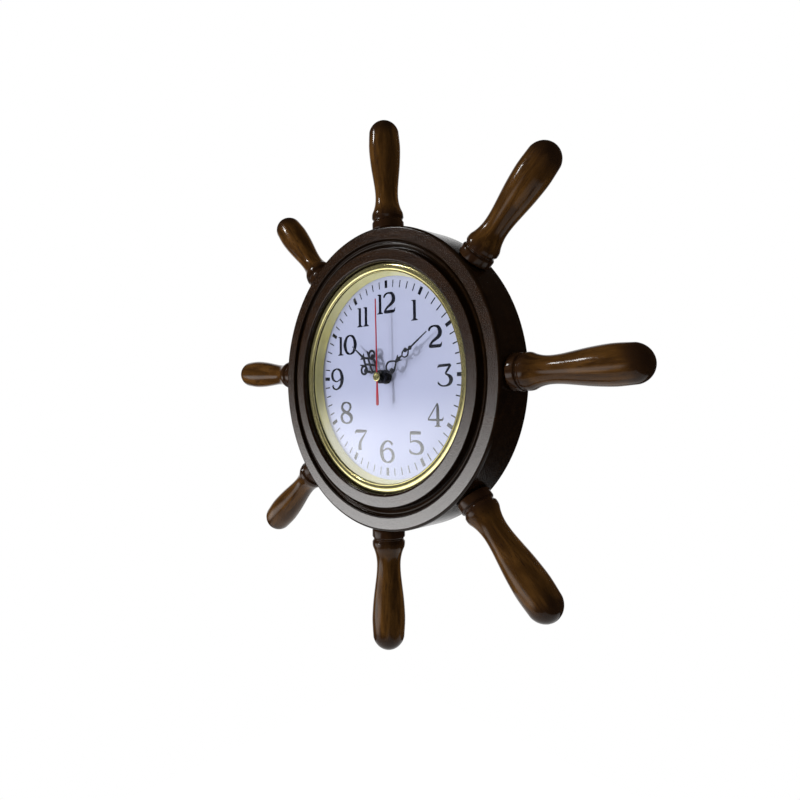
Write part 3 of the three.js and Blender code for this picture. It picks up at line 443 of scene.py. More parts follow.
def uneven(tree, vector, texture, low, high, least=0.0, most=1.0):
    """The shared patches in a material, from a texture of (scale, detail, roughness)."""
    node = tree.nodes.new("ShaderNodeGroup")
    node.node_tree = patches
    names = ("Scale", "Detail", "Roughness", "Low", "High", "Least", "Most")
    for name, value in zip(names, (*texture, low, high, least, most)):
        node.inputs[name].default_value = value
    tree.links.new(vector, node.inputs["Vector"])
    return node


def principled(name):
    """A new material, with its tree and its shader."""
    material = bpy.data.materials.new(name)
    material.use_nodes = True
    return material, material.node_tree, material.node_tree.nodes["Principled BSDF"]


def bump(tree, height, strength, distance):
    """A height made into a fine relief."""
    node = tree.nodes.new("ShaderNodeBump")
    node.inputs["Strength"].default_value = strength
    node.inputs["Distance"].default_value = distance
    tree.links.new(height, node.inputs["Height"])
    return node.outputs["Normal"]


def stained_wood(name, tones):
    """Three tones of stain over a grain that runs nearly level across the rim."""
    material, tree, shader = principled(name)
    place = tree.nodes.new("ShaderNodeTexCoord").outputs["Object"]
    turn_grain = tree.nodes.new("ShaderNodeMapping")
    turn_grain.inputs["Rotation"].default_value = (0, math.radians(83), 0)
    tree.links.new(place, turn_grain.inputs["Vector"])
    wood = tree.nodes.new("ShaderNodeGroup")
    wood.node_tree = grain
    tree.links.new(turn_grain.outputs["Vector"], wood.inputs["Vector"])
    figure = ramp(tree, wood.outputs["Figure"], 0.35, 0.68)
    stain = mix_colour(tree, figure, tones[0], tones[1])
    blotch = ramp(tree, wood.outputs["Blotch"], 0.35, 0.7)
    stain = mix_colour(tree, blotch, stain, tones[2])
    pores = ramp(tree, wood.outputs["Pores"], 0.62, 0.74)
    stain = mix_colour(tree, pores, stain, pore_stain)
    tree.links.new(stain, shader.inputs["Base Color"])
    return material, tree, shader, place


pore_stain = (0.004, 0.002, 0.001, 1)
# The side wall, cove, bead and bore take a darker copy of the stain than the flat faces: painted shade,
# for faces turned away from the light or lying in hollows.
shade_darkened_stain = [(0.007, 0.003, 0.001, 1), (0.014, 0.0062, 0.002, 1), (0.01, 0.0045, 0.0015, 1)]
shaded_rim_wood, tree, shader, place = stained_wood("shaded_dark_wood", shade_darkened_stain)
skin = uneven(tree, place, (900, 3, 0.6), 0.35, 0.7, least=0.14, most=0.24)
shader.inputs["Specular IOR Level"].default_value = 0.25
tree.links.new(skin.outputs["Value"], shader.inputs["Roughness"])
tree.links.new(bump(tree, skin.outputs["Relief"], 0.4, 0.15 * mm), shader.inputs["Normal"])
rim.data.materials.append(shaded_rim_wood)

# The flat faces were rubbed down after the lacquer, so they shine softly and wide. They and the back keep
# the stain's plain, lighter tones; the darker copy above is painted shade.
rubbed_stain = [(0.013, 0.0044, 0.0008, 1), (0.027, 0.0098, 0.0018, 1), (0.018, 0.0066, 0.0012, 1)]
rubbed_wood, tree, shader, place = stained_wood("rubbed_dark_wood", rubbed_stain)
shader.inputs["IOR"].default_value = 1.8
shader.inputs["Specular IOR Level"].default_value = 1.0
skin = uneven(tree, place, (1400, 3, 0.65), 0.35, 0.7, least=0.16, most=0.26)
tree.links.new(skin.outputs["Value"], shader.inputs["Roughness"])
tree.links.new(bump(tree, skin.outputs["Relief"], 0.9, 0.1 * mm), shader.inputs["Normal"])
rim.data.materials.append(rubbed_wood)
# Front flats and back take the rubbed wood; every other face keeps the darker copy, which is painted
# shade.
for face in rim.data.polygons:
    middle = Vector((face.center.x, 0, face.center.z)).length
    on_flat = middle < inner_ring_radius or groove_radius < middle < rim_radius - 1.9 * mm
    on_back = middle > bore_radius + mm
    if (face.normal.y < -0.99 and on_flat) or (face.normal.y > 0.99 and on_back):
        face.material_index = 1
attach(rim, body)
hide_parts("wheel_rim")

# Handles
# Each is turned from a lighter hardwood between centres, stained and lacquered, and its tenon is
# glued into the rim. The end grain has taken more of the stain, and the handle is darker towards its foot
# at the rim.
tenon_reach = 21 * mm
handle_length = 88 * mm
handle_radius = 12.2 * mm
grip_points = [
    (0.132, 0.995),
    (0.155, 0.965),
    (0.19, 0.86),
    (0.24, 0.765),
    (0.3, 0.722),
    (0.38, 0.745),
    (0.48, 0.83),
    (0.58, 0.92),
    (0.68, 0.98),
    (0.76, 1.0),
    (0.84, 0.97),
]


def between(before, start, end, after, share):
    """A value of a smooth curve, at a share of the way from start to end."""
    return 0.5 * (
        2 * start
        + (end - before) * share
        + (2 * before - 5 * start + 4 * end - after) * share**2
        + (3 * start - before - 3 * end + after) * share**3
    )


def smooth_line(points, steps):
    """A curve through the points, with the given number of steps between each two."""
    padded = [points[0], *points, points[-1]]
    line = []
    for corners in zip(padded, padded[1:], padded[2:], padded[3:]):
        for step in range(steps):
            line.append(tuple(between(*values, step / steps) for values in zip(*corners)))
    return [*line, points[-1]]


end_radius = 11.8 * mm
end_centre = handle_length - end_radius
collar = [
    *arc(11.0 * mm, 1.3 * mm, 1.2 * mm, 1.3 * mm, -90, 0, 5),
    *arc(11.0 * mm, 5.5 * mm, 1.2 * mm, 1.2 * mm, 0, 80, 5),
    *arc(11.6 * mm, 7.8 * mm, 0.6 * mm, 0.7 * mm, 240, 120, 4),
    (11.9 * mm, 9.6 * mm),
    (12.15 * mm, 9.9 * mm),
]
grip_line = smooth_line(grip_points, 3)
grip = [(radius * handle_radius, along * handle_length) for along, radius in grip_line]
end = arc(0, end_centre, 11.75 * mm, end_radius, 12, 90, 14)
handle_profile = [
    (0, -tenon_reach),
    (tenon_radius - 0.6 * mm, -tenon_reach),
    (tenon_radius, 0.6 * mm - tenon_reach),
    (tenon_radius, 0),
    *collar,
    *grip,
    *end,
]
pattern = drawn("handle_pattern", [(radius, 0, along) for radius, along in handle_profile])
bpy.ops.object.mode_set(mode="EDIT")
bpy.ops.mesh.select_all(action="SELECT")
bpy.ops.mesh.spin(steps=64, angle=2 * math.pi, center=(0, 0, 0), axis=(0, 0, 1))
bpy.ops.object.mode_set(mode="OBJECT")
tidy_mesh(pattern, 35)

brown_stain = (0.034, 0.0142, 0.0035, 1)
amber_stain = (0.1, 0.044, 0.0098, 1)
blotch_stain = (0.05, 0.021, 0.0048, 1)
open_pore_stain = (0.026, 0.011, 0.004, 1)
end_stain = (0.018, 0.008, 0.004, 1)
darker_foot_tone = (0.016, 0.007, 0.004, 1)
handle_wood, tree, shader = principled("handle_wood")
place = tree.nodes.new("ShaderNodeAttribute")
place.attribute_name = "turning"
along = tree.nodes.new("ShaderNodeAttribute")
along.attribute_name = "along"
wood = tree.nodes.new("ShaderNodeGroup")
wood.node_tree = grain
tree.links.new(place.outputs["Vector"], wood.inputs["Vector"])
figure = ramp(tree, wood.outputs["Figure"], 0.36, 0.66)
stain = mix_colour(tree, figure, brown_stain, amber_stain)
blotch = ramp(tree, wood.outputs["Blotch"], 0.42, 0.7)
stain = mix_colour(tree, blotch, stain, blotch_stain)
pores = ramp(tree, wood.outputs["Pores"], 0.6, 0.72)
stain = mix_colour(tree, pores, stain, open_pore_stain)
ragged = tree.nodes.new("ShaderNodeMath")
ragged.operation = "MULTIPLY_ADD"
ragged.inputs[1].default_value = 0.16
tree.links.new(wood.outputs["Blotch"], ragged.inputs[0])
tree.links.new(along.outputs["Fac"], ragged.inputs[2])
end_dark = ramp(tree, ragged.outputs["Value"], 0.88, 1.02, 0.0, 0.85)
stain = mix_colour(tree, end_dark, stain, end_stain)
# Darker towards the foot, where the handle meets the rim.
foot_dark = ramp(tree, along.outputs["Fac"], 0.22, 0.1, 0.0, 0.8)
stain = mix_colour(tree, foot_dark, stain, darker_foot_tone)
tree.links.new(stain, shader.inputs["Base Color"])
skin = uneven(tree, place.outputs["Vector"], (700, 2, 0.5), 0.35, 0.7, least=0.1, most=0.2)
shader.inputs["Specular IOR Level"].default_value = 0.22
tree.links.new(skin.outputs["Value"], shader.inputs["Roughness"])
tree.links.new(bump(tree, pores, -0.15, 0.08 * mm), shader.inputs["Normal"])


def copied(piece):
    """A copy with a mesh of its own, left selected."""
    bpy.ops.object.select_all(action="DESELECT")
    piece.select_set(True)
    bpy.context.view_layer.objects.active = piece
    bpy.ops.object.duplicate()
    return bpy.context.object


for number, name in enumerate(handle_names):
    handle = copied(pattern)
    handle.name = handle.data.name = f"turned_{name}"
    handle.data.attributes.new("turning", "FLOAT_VECTOR", "POINT")
    handle.data.attributes.new("along", "FLOAT", "POINT")
    turning = handle.data.attributes["turning"].data
    share = handle.data.attributes["along"].data
    for index, spot in enumerate([vertex.co.copy() for vertex in handle.data.vertices]):
        turning[index].vector = spot + Vector((0.004, 0.003 * number, 0.31 * number))
        share[index].value = spot.z / handle_length
    handle.matrix_world = handle_frame(name) @ Matrix.Translation((0, 0, tenon_reach))
    bpy.ops.object.transform_apply()
    handle.data.materials.append(handle_wood)
    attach(handle, body)
    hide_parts(name)
bpy.data.objects.remove(pattern)

# Lens
# A shallow dome of pressed clear glass with a ground edge. It lies in the case's flange, under the
# bezel's lip.
lens_low, lens_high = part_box("glass_lens")
lens_radius = lens_high.x
lens_rise = 8.6 * mm
lens_thickness = 1.2 * mm


def lens_front(radius):
    """The depth of the dome's front at a radius."""
    return lens_low.y + lens_rise * (radius / lens_radius) ** 2


lens_steps = [lens_radius * step / 16 for step in range(17)]
lens_profile = [
    *((radius, lens_front(radius)) for radius in lens_steps[:-1]),
    *arc(lens_radius - 0.3 * mm, lens_front(lens_radius) + 0.25 * mm, 0.3 * mm, 0.3 * mm, -70, 70, 4),
    *((radius, lens_front(radius) + lens_thickness) for radius in lens_steps[-2::-1]),
]
lens = turned("domed_lens", lens_profile, steps=128, smooth_angle=60)

glass, tree, shader = principled("lens_glass")
shader.inputs["Base Color"].default_value = (0.97, 0.99, 0.98, 1)
shader.inputs["Roughness"].default_value = 0.02
shader.inputs["IOR"].default_value = 1.5
shader.inputs["Transmission Weight"].default_value = 1
clear = tree.nodes.new("ShaderNodeBsdfTransparent")
glass_rays = tree.nodes.new("ShaderNodeLightPath")
glass_lit = tree.nodes.new("ShaderNodeMath")
glass_lit.operation = "MAXIMUM"
glass_mirrored = tree.nodes.new("ShaderNodeMath")
glass_mirrored.operation = "SUBTRACT"
glass_thin = tree.nodes.new("ShaderNodeMath")
glass_thin.operation = "MAXIMUM"
glass_mix = tree.nodes.new("ShaderNodeMixShader")
tree.links.new(glass_rays.outputs["Is Shadow Ray"], glass_lit.inputs[0])
tree.links.new(glass_rays.outputs["Is Diffuse Ray"], glass_lit.inputs[1])
tree.links.new(glass_lit.outputs["Value"], glass_thin.inputs[0])
tree.links.new(glass_rays.outputs["Is Glossy Ray"], glass_mirrored.inputs[0])
tree.links.new(glass_rays.outputs["Is Transmission Ray"], glass_mirrored.inputs[1])
tree.links.new(glass_mirrored.outputs["Value"], glass_thin.inputs[1])
tree.links.new(glass_thin.outputs["Value"], glass_mix.inputs["Fac"])
tree.links.new(shader.outputs["BSDF"], glass_mix.inputs[1])
tree.links.new(clear.outputs["BSDF"], glass_mix.inputs[2])
tree.links.new(glass_mix.outputs["Shader"], tree.nodes["Material Output"].inputs["Surface"])
lens.data.materials.append(glass)
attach(lens, body)
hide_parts("glass_lens")

# Bezel
# It is spun from thin brass into a channel ring, with a broad rolled lip over the glass. Its skirt is
# pressed into the rim's rebate, and the polished brass has tarnished a little.
bezel_low, bezel_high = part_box("bezel_ring")
bezel_radius = bezel_high.x
bezel_inner = bezel_radius - 0.6 * mm
lip_radius = bezel_inner - 5.7 * mm
lip_edge = lip_radius + 0.15 * mm
lip_crest = (lip_radius + bezel_inner) / 2 + 0.5 * mm
underside = lens_front(lip_radius) - 0.3 * mm
bezel_profile = [
    (lip_edge, underside),
    *arc(lip_radius + 0.45 * mm, underside - 0.35 * mm, 0.45 * mm, 0.3 * mm, 180, 240, 4),
    *arc(lip_crest, bezel_low.y + 0.8 * mm, 2.5 * mm, 0.8 * mm, 190, 330, 14),
    *arc(bezel_inner, bezel_low.y + 1.65 * mm, 0.6 * mm, 0.6 * mm, -50, 0, 4),
    (bezel_radius, bezel_high.y),
    (bezel_inner, bezel_high.y),
    (bezel_inner, underside),
    (lip_edge, underside),
]
bezel = turned("spun_bezel", bezel_profile, steps=256, smooth_angle=50)


def finished(name, light, dark, tone, gloss):
    """A finish of two tones in soft patches, and a roughness that varies between two values."""
    material, tree, shader = principled(name)
    place = tree.nodes.new("ShaderNodeTexCoord").outputs["Object"]
    patch = uneven(tree, place, *tone)
    skin = uneven(tree, place, *gloss)
    colour = mix_colour(tree, patch.outputs["Value"], light, dark)
    tree.links.new(colour, shader.inputs["Base Color"])
    tree.links.new(skin.outputs["Value"], shader.inputs["Roughness"])
    return material, shader


bright_brass = (0.82, 0.74, 0.36, 1)
tarnished_brass = (0.7, 0.62, 0.27, 1)
tarnish = ((60, 4, 0.6), 0.4, 0.75)
polish = ((500, 3, 0.6), 0.3, 0.7, 0.12, 0.2)
brass, shader = finished("polished_brass", bright_brass, tarnished_brass, tarnish, polish)
shader.inputs["Metallic"].default_value = 0.87
bezel.data.materials.append(brass)
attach(bezel, body)
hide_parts("bezel_ring")

# Reflector
# A cone of thin gilt sheet between lens and dial, which hides the wall of the case. It rests on the
# dial's edge and is held down by the lens.
reflector_low, reflector_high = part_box("reflector_ring")
dial_low, dial_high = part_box("dial_plate")
dial_radius = dial_high.x
reflector_wall = 0.5 * mm
reflector_foot = dial_radius - 2.4 * mm
reflector_profile = [
    (dial_radius - reflector_wall, reflector_low.y),
    (dial_radius, reflector_low.y),
    (dial_radius, reflector_low.y + reflector_wall),
    (reflector_foot, reflector_high.y),
    (reflector_foot - reflector_wall, reflector_high.y),
    (dial_radius - reflector_wall, reflector_low.y),
]
reflector = turned("conical_reflector", reflector_profile, steps=256, smooth_angle=30)
pale_gilding = (0.92, 0.86, 0.42, 1)
dull_gilding = (0.84, 0.78, 0.35, 1)
dulling = ((90, 4, 0.6), 0.4, 0.75)
sheen = ((700, 3, 0.6), 0.3, 0.7, 0.04, 0.08)
gilt, shader = finished("gilt_reflector", pale_gilding, dull_gilding, dulling, sheen)
shader.inputs["Metallic"].default_value = 0.2
reflector.data.materials.append(gilt)
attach(reflector, body)
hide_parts("reflector_ring")

# Dial
# A round plate of thin sheet, enamelled a cool white, with a hole for the movement's threaded
# bushing. A nut and a washer hold it on the case.
dial_hole = 3.7 * mm
dial_profile = [
    (dial_hole, dial_low.y),
    (dial_radius, dial_low.y),
    (dial_radius, dial_high.y),
    (dial_hole, dial_high.y),
    (dial_hole, dial_low.y),
]
dial = turned("enamelled_dial", dial_profile, steps=192, smooth_angle=20)
cool_white = (0.465, 0.49, 0.7, 1)
paler_white = (0.485, 0.51, 0.72, 1)
clouding = ((25, 2, 0.5), 0.3, 0.7)
glaze = ((1200, 2, 0.5), 0.3, 0.7, 0.4, 0.5)
enamel = finished("white_enamel", cool_white, paler_white, clouding, glaze)[0]
dial.data.materials.append(enamel)
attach(dial, body)
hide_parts("dial_plate")

# Minute marks
# Sixty short strokes round the dial's edge, printed in thick near-black ink. Every fifth is wider
# and marks an hour.
ink_height = 0.05 * mm
print_front = dial_low.y - ink_height
mark_radius = 70.4 * mm
dial_turn = math.radians(-1.7)
minute_mark = (0.9 * mm, 5.5 * mm)
hour_mark = (2.8 * mm, 5.9 * mm)


def joined(name, pieces):
    """Several pieces made one mesh."""
    bpy.ops.object.select_all(action="DESELECT")
    for piece in pieces:
        piece.select_set(True)
    bpy.context.view_layer.objects.active = pieces[0]
    bpy.ops.object.join()
    whole = bpy.context.object
    whole.name = whole.data.name = name
    return whole


def printed_mark(width, length):
    """One mark at the top of the dial."""
    low = Vector((-width / 2, print_front, mark_radius - length / 2))
    high = Vector((width / 2, dial_low.y, mark_radius + length / 2))
    return slab("mark", low, high)


mark_patterns = [printed_mark(*minute_mark), printed_mark(*hour_mark)]
marks = []
for minute in range(60):
    mark = copied(mark_patterns[minute % 5 == 0])
    mark.matrix_world = Matrix.Rotation(dial_turn + minute * math.radians(6), 4, "Y")
    bpy.ops.object.transform_apply()
    marks.append(mark)
for mark in mark_patterns:
    bpy.data.objects.remove(mark)
minute_marks = joined("minute_marks", marks)

blue_black = (0.003, 0.004, 0.012, 1)
worn_black = (0.006, 0.008, 0.02, 1)
ink, tree, shader = principled("printing_ink")
place = tree.nodes.new("ShaderNodeTexCoord").outputs["Object"]
worn = uneven(tree, place, (1500, 2, 0.5), 0.35, 0.7)
ink_colour = mix_colour(tree, worn.outputs["Value"], blue_black, worn_black)
tree.links.new(ink_colour, shader.inputs["Base Color"])
shader.inputs["Roughness"].default_value = 0.22
shader.inputs["IOR"].default_value = 1.7
shader.inputs["Specular IOR Level"].default_value = 1.0
minute_marks.data.materials.append(ink)
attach(minute_marks, body)

# Numerals
# The numbers 1 to 12, drawn with a broad pen and printed in the ink of the marks. Each figure is drawn
# once, stroke by stroke, and copied. A stroke's points give (across, up, half width) in mm.
figure_strokes = {
    "0": [
        [(7.75, 15.6, 0.5), (3.7, 13.8, 1.0), (1.5, 8.05, 1.5), (3.7, 2.3, 1.0), (7.75, 0.5, 0.5)],
        [(7.75, 15.6, 0.5), (11.8, 13.8, 1.0), (14, 8.05, 1.5), (11.8, 2.3, 1.0), (7.75, 0.5, 0.5)],
    ],
    "1": [
        [(3.4, 15.0, 1.15), (3.4, 8, 1.15), (3.4, 0.5, 1.15)],
        [(0.5, 14.8, 0.2), (1.7, 14.75, 0.4), (3.2, 14.3, 0.8)],
        [(0.1, 0.3, 0.25), (3.4, 0.4, 0.4), (6.7, 0.3, 0.25)],
        [(1.2, 0.55, 0.3), (3.4, 1.3, 0.6), (5.6, 0.55, 0.3)],
    ],
    "2": [
        [(0.8, 11.9, 0.5), (1.0, 13.3, 0.8), (2.9, 14.8, 0.65), (6.1, 15.2, 0.55), (9.3, 14.2, 1.0),
         (10.9, 11, 1.45), (10.1, 8.3, 1.35), (7.3, 6.2, 0.95), (4.1, 4.4, 0.8), (1.7, 2.1, 0.75),
         (0.9, 0.7, 0.5)],
        [(0.6, 0.85, 0.6), (3, 1.0, 0.95), (9, 1.0, 0.95), (11.7, 1.05, 0.85)],
        [(11.3, 1.0, 0.8), (12, 2.4, 0.5), (12.6, 3.7, 0.12)],
    ],
    "3": [
        [(1.2, 14.4, 0.75), (6, 14.65, 0.8), (12.1, 14.9, 0.75)],
        [(1.2, 14.3, 0.7), (0.8, 13.5, 0.4), (0.45, 12.7, 0.1)],
        [(12.4, 15, 0.6), (9.8, 12, 0.8), (7.3, 8.8, 0.5)],
        [(7.2, 8.75, 0.35), (9.4, 8.1, 0.65), (11.7, 6.5, 1.2), (12.4, 4.4, 1.3), (10.9, 1.9, 0.95),
         (7.8, 0.6, 0.5), (4, 0.65, 0.45), (1.5, 1.9, 0.6), (0.8, 2.7, 0.45), (0.9, 3.6, 0.15)],
    ],
    "4": [
        [(9.2, 16.3, 0.4), (9.35, 13, 1.0), (9.4, 7, 1.1), (9.4, 0.7, 1.1)],
        [(9, 16.3, 0.35), (4.6, 10.4, 0.42), (0.3, 4.9, 0.45)],
        [(0.3, 4.7, 0.45), (6, 4.75, 0.6), (12, 4.75, 0.6), (13.9, 4.95, 0.5)],
        [(13.7, 5.1, 0.5), (14.2, 6.2, 0.3), (14.4, 7, 0.1)],
        [(6.4, 0.3, 0.22), (9.4, 0.4, 0.35), (12.2, 0.3, 0.22)],
        [(7.5, 0.55, 0.3), (9.4, 1.2, 0.6), (11.3, 0.55, 0.3)],
    ],
    "5": [
        [(1, 15.3, 0.9), (6, 15.45, 1.0), (11.6, 15.6, 0.85)],
        [(1.3, 15, 0.45), (1.35, 11.5, 0.42), (1.5, 8.3, 0.42)],
        [(1.5, 8.3, 0.3), (3.2, 9.3, 0.45), (6.6, 9.7, 0.6), (10.6, 8.5, 1.0), (12.9, 5.2, 1.3),
         (11.6, 2.1, 1.0), (8, 0.6, 0.55), (4, 0.7, 0.6), (1.5, 1.6, 0.75), (0.7, 2.6, 0.5),
         (0.9, 3.7, 0.15)],
    ],
    "6": [
        [(13, 13.9, 0.85), (11.6, 15.5, 0.75), (8, 16.5, 0.5), (4.2, 14.7, 0.9), (1.8, 10.9, 1.35),
         (1.6, 7.2, 1.5), (3.2, 2.6, 1.1), (7.6, 0.55, 0.5)],
        [(7.6, 0.55, 0.5), (11.8, 2, 0.85), (13.9, 5.3, 1.25), (12.7, 9, 1.0), (8.8, 10.9, 0.55),
         (5, 9.9, 0.45), (3, 8.3, 0.4)],
    ],
    "7": [
        [(1.3, 14.75, 0.9), (5, 14.85, 1.05), (10, 15.05, 0.85), (13.6, 15.5, 0.45)],
        [(1.2, 14.6, 0.75), (0.65, 13.4, 0.4), (0.2, 12.5, 0.1)],
        [(14, 15.6, 0.35), (11.5, 12.5, 0.55), (8.5, 9.1, 0.8), (6.5, 6.1, 1.1), (6, 3.1, 1.4),
         (6.1, 0.2, 1.55)],
    ],
    "8": [
        [(7.2, 17.1, 0.45), (3.4, 16, 0.8), (1.9, 13.2, 1.1), (3.2, 10.8, 1.1), (6.8, 9.1, 1.0),
         (10.4, 7.9, 1.2), (13.2, 5.4, 1.35), (12.2, 2.1, 0.95), (7.5, 0.5, 0.45), (3.1, 1.9, 0.95),
         (1.3, 5, 1.2), (2.9, 7.9, 0.8), (6.6, 9, 0.5), (10.4, 10.6, 0.7), (12.1, 13.4, 1.0),
         (10.9, 16, 0.75), (7.2, 17.1, 0.45)],
    ],
    "9": [
        [(6.9, 17.35, 0.45), (11, 15.9, 0.95), (13.4, 11.6, 1.5), (13.6, 8.3, 1.6), (11.9, 3.5, 1.2),
         (7, 0.6, 0.55), (3.2, 1.6, 0.7), (2.2, 2.9, 0.8), (2.4, 4.6, 0.3)],
        [(6.9, 17.35, 0.45), (2.9, 15.7, 0.85), (1.25, 12.3, 1.25), (2.6, 8.8, 1.0), (6.3, 6.95, 0.45),
         (9.8, 7.8, 0.45), (12.6, 9.6, 0.6)],
    ],
}
figure_sizes = {
    "0": (15.5, 16.1), "1": (6.8, 15.3), "2": (12.8, 15.7), "3": (13.7, 15.8), "4": (14.6, 16.6),
    "5": (14.2, 16.5), "6": (15.1, 17), "7": (14.4, 16), "8": (14.6, 17.5), "9": (15.2, 17.8),
}
figure_spacing = 0.3
numeral_places = {
    1: (29.2, 47.7), 2: (48.6, 27.1), 3: (56.8, -0.3), 4: (47.8, -27.6), 5: (29.2, -48),
    6: (-0.5, -55.8), 7: (-29.6, -48.4), 8: (-46.6, -27.5), 9: (-58, -0.3), 10: (-45.4, 26.9),
    11: (-26.3, 47.8), 12: (-0.1, 56),
}

pen_weight = 1.28
pen_thickness = 2.1 * mm


def pen_stroke(points):
    """A rounded stroke along a smooth line, as wide at each point as the line says.

    The curve may start at either end of the drawn chain, so its second point is looked at.
    """
    line = smooth_line(points, 6)
    stroke = drawn("stroke", [(across * mm, up * mm, 0) for across, up, half in line])
    bpy.ops.object.convert(target="CURVE")
    stroke = bpy.context.object
    curve = stroke.data
    curve.dimensions = "3D"
    curve.twist_mode = "Z_UP"
    curve.bevel_depth = mm
    curve.bevel_resolution = 4
    curve.use_fill_caps = True
    chain = curve.splines[0].points
    second = Vector((line[1][0] * mm, line[1][1] * mm, 0))
    if (chain[1].co.xyz - second).length > 0.01 * mm:
        line.reverse()
    for point, (across, up, half) in zip(chain, line):
        point.radius = half * pen_weight
    bpy.ops.object.convert(target="MESH")
    return bpy.context.object


figures = {}
for letter, strokes in figure_strokes.items():
    figures[letter] = joined(f"figure_{letter}", [pen_stroke(points) for points in strokes])


def numeral(text, centre_x, centre_z):
    """Copies of a number's figures, side by side about its centre."""
    total = sum(figure_sizes[letter][0] for letter in text) + figure_spacing * (len(text) - 1)
    left = centre_x - total / 2
    low = centre_z - max(figure_sizes[letter][1] for letter in text) / 2
    placed = []
    for letter in text:
        figure = copied(figures[letter])
        figure.location = (left * mm, low * mm, 0)
        bpy.ops.object.transform_apply()
        placed.append(figure)
        left += figure_sizes[letter][0] + figure_spacing
    return placed


placed = []
for hour, (centre_x, centre_z) in numeral_places.items():
    placed += numeral(str(hour), centre_x, centre_z)
for figure in figures.values():
    bpy.data.objects.remove(figure)
numerals = joined("numerals", placed)
flatten = Matrix.Diagonal((1, 1, ink_height / pen_thickness, 1))
upright = Matrix.Rotation(dial_turn, 4, "Y") @ Matrix.Rotation(math.pi / 2, 4, "X")
numerals.matrix_world = Matrix.Translation((0, dial_low.y, 0)) @ upright @ flatten
bpy.ops.object.transform_apply()
tidy_mesh(numerals, 60)
numerals.data.materials.append(ink)
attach(numerals, body)

# Hour and minute hands
# Both are stamped from thin sheet in an openwork pattern and painted black. Each is pressed onto its
# own sleeve of the movement by the round hub.


def far_turn(node):
    """The clock angle of a hand, from its farthest points."""
    points = [vertex.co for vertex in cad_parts[node].data.vertices]
    reach = max(Vector((point.x, 0, point.z)).length for point in points)
    ends = [point for point in points if Vector((point.x, 0, point.z)).length > reach - 0.05 * mm]
    middle = sum(ends, Vector()) / len(ends)
    return math.atan2(middle.x, middle.z)


def stamped(outline_points, front_y, back_y):
    """A flat shape from its corners (across, up), between two depths."""
    piece = drawn("stamping", [(across, front_y, up) for across, up in outline_points])
    bpy.ops.object.mode_set(mode="EDIT")
    bpy.ops.mesh.select_all(action="SELECT")
    bpy.ops.mesh.edge_face_add()
    bpy.ops.mesh.extrude_region_move(TRANSFORM_OT_translate={"value": (0, back_y - front_y, 0)})
    bpy.ops.mesh.select_all(action="SELECT")
    bpy.ops.mesh.normals_make_consistent(inside=False)
    bpy.ops.object.mode_set(mode="OBJECT")
    return piece


def oval(centre, radius, steps=48):
    """The corners of a round outline."""
    turns = [2 * math.pi * step / steps for step in range(steps)]
    return [(centre[0] + radius * math.cos(t), centre[1] + radius * math.sin(t)) for t in turns]


def united(pieces, hole):
    """All pieces made one, with a hole through them."""
    whole = pieces[0]
    bpy.context.view_layer.objects.active = whole
    for other in [*pieces[1:], hole]:
        way = "DIFFERENCE" if other == hole else "UNION"
        join = whole.modifiers.new("join", "BOOLEAN")
        join.operation = way
        join.object = other
        join.solver = "EXACT"
        bpy.ops.object.modifier_apply(modifier=join.name)
        bpy.data.objects.remove(other)
    return whole


def ribbon(points):
    """The outline of a strip along a smooth line of (across, up, half width) points."""
    line = smooth_line(points, 5)
    left, right = [], []
    for index, (across, up, half) in enumerate(line):
        before, after = line[max(index - 1, 0)], line[min(index + 1, len(line) - 1)]
        ahead = Vector((after[0] - before[0], after[1] - before[1])).normalized()
        left.append((across - ahead.y * half, up + ahead.x * half))
        right.append((across + ahead.y * half, up - ahead.x * half))
    return left + right[::-1]


hub_radius = 5.05 * mm


def hand(name, node, strips, balls, bore):
    """An openwork hand of strips and balls in mm on its hub, turned to the hour it shows."""
    low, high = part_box(node)
    outlines = [oval((0, 0), hub_radius)]
    outlines += [[(across * mm, up * mm) for across, up in ribbon(points)] for points in strips]
    outlines += [oval((across * mm, up * mm), radius * mm, 24) for across, up, radius in balls]
    pieces = [stamped(points, low.y, high.y) for points in outlines]
    hole = stamped(oval((0, 0), bore), low.y - mm, high.y + mm)
    whole = united(pieces, hole)
    whole.name = whole.data.name = name
    whole.matrix_world = Matrix.Rotation(far_turn(node), 4, "Y")
    bpy.ops.object.select_all(action="DESELECT")
    whole.select_set(True)
    bpy.context.view_layer.objects.active = whole
    bpy.ops.object.transform_apply()
    tidy_mesh(whole, 30)
    return whole


def mirrored(points):
    """A strip's points on the other side of the hand."""
    return [(-across, *rest) for across, *rest in points]


def ring_strips(across, up, radius, half):
    """A round ring as two half circles that overlap a little."""
    halves = []
    for first in (-5, 175):
        turns = [math.radians(first + 190 * step / 8) for step in range(9)]
        halves.append([(across + radius * math.cos(t), up + radius * math.sin(t), half) for t in turns])
    return halves


hour_half = [
    [(0, 25, 0.95), (2.7, 20.9, 0.88), (4.6, 17.6, 0.9)],
    [(-2.9, 10.8, 0.8), (0.1, 16.2, 0.88), (3.1, 21.3, 0.8)],
    [(0.2, 7.4, 0.95), (3.4, 10.8, 0.95), (5.7, 15, 1.0)],
    [(6.6, 25.2, 0.2), (5.7, 23.2, 0.7), (4.4, 20.8, 0.9)],
    *ring_strips(7.1, 18.9, 3.1, 0.85),
]
hour_middle = [
    [(0, 4, 1.1), (0, 6, 1.0), (0, 8.5, 0.9)],
    [(-2.9, 27.2, 0.2), (-1.4, 26.3, 0.8), (0, 25.8, 1.15), (1.4, 26.3, 0.8), (2.9, 27.2, 0.2)],
    [(0, 24.5, 1.0), (0, 28, 0.85), (0, 34, 0.55), (0, 40.9, 0.3)],
]
hour_strips = [*hour_half, *(mirrored(points) for points in hour_half), *hour_middle]
hour_balls = [(6.4, 17, 2.15), (-6.4, 17, 2.15)]
hour_bore = 2.55 * mm
hour_hand = hand("stamped_hour_hand", "hour_hand", hour_strips, hour_balls, hour_bore)

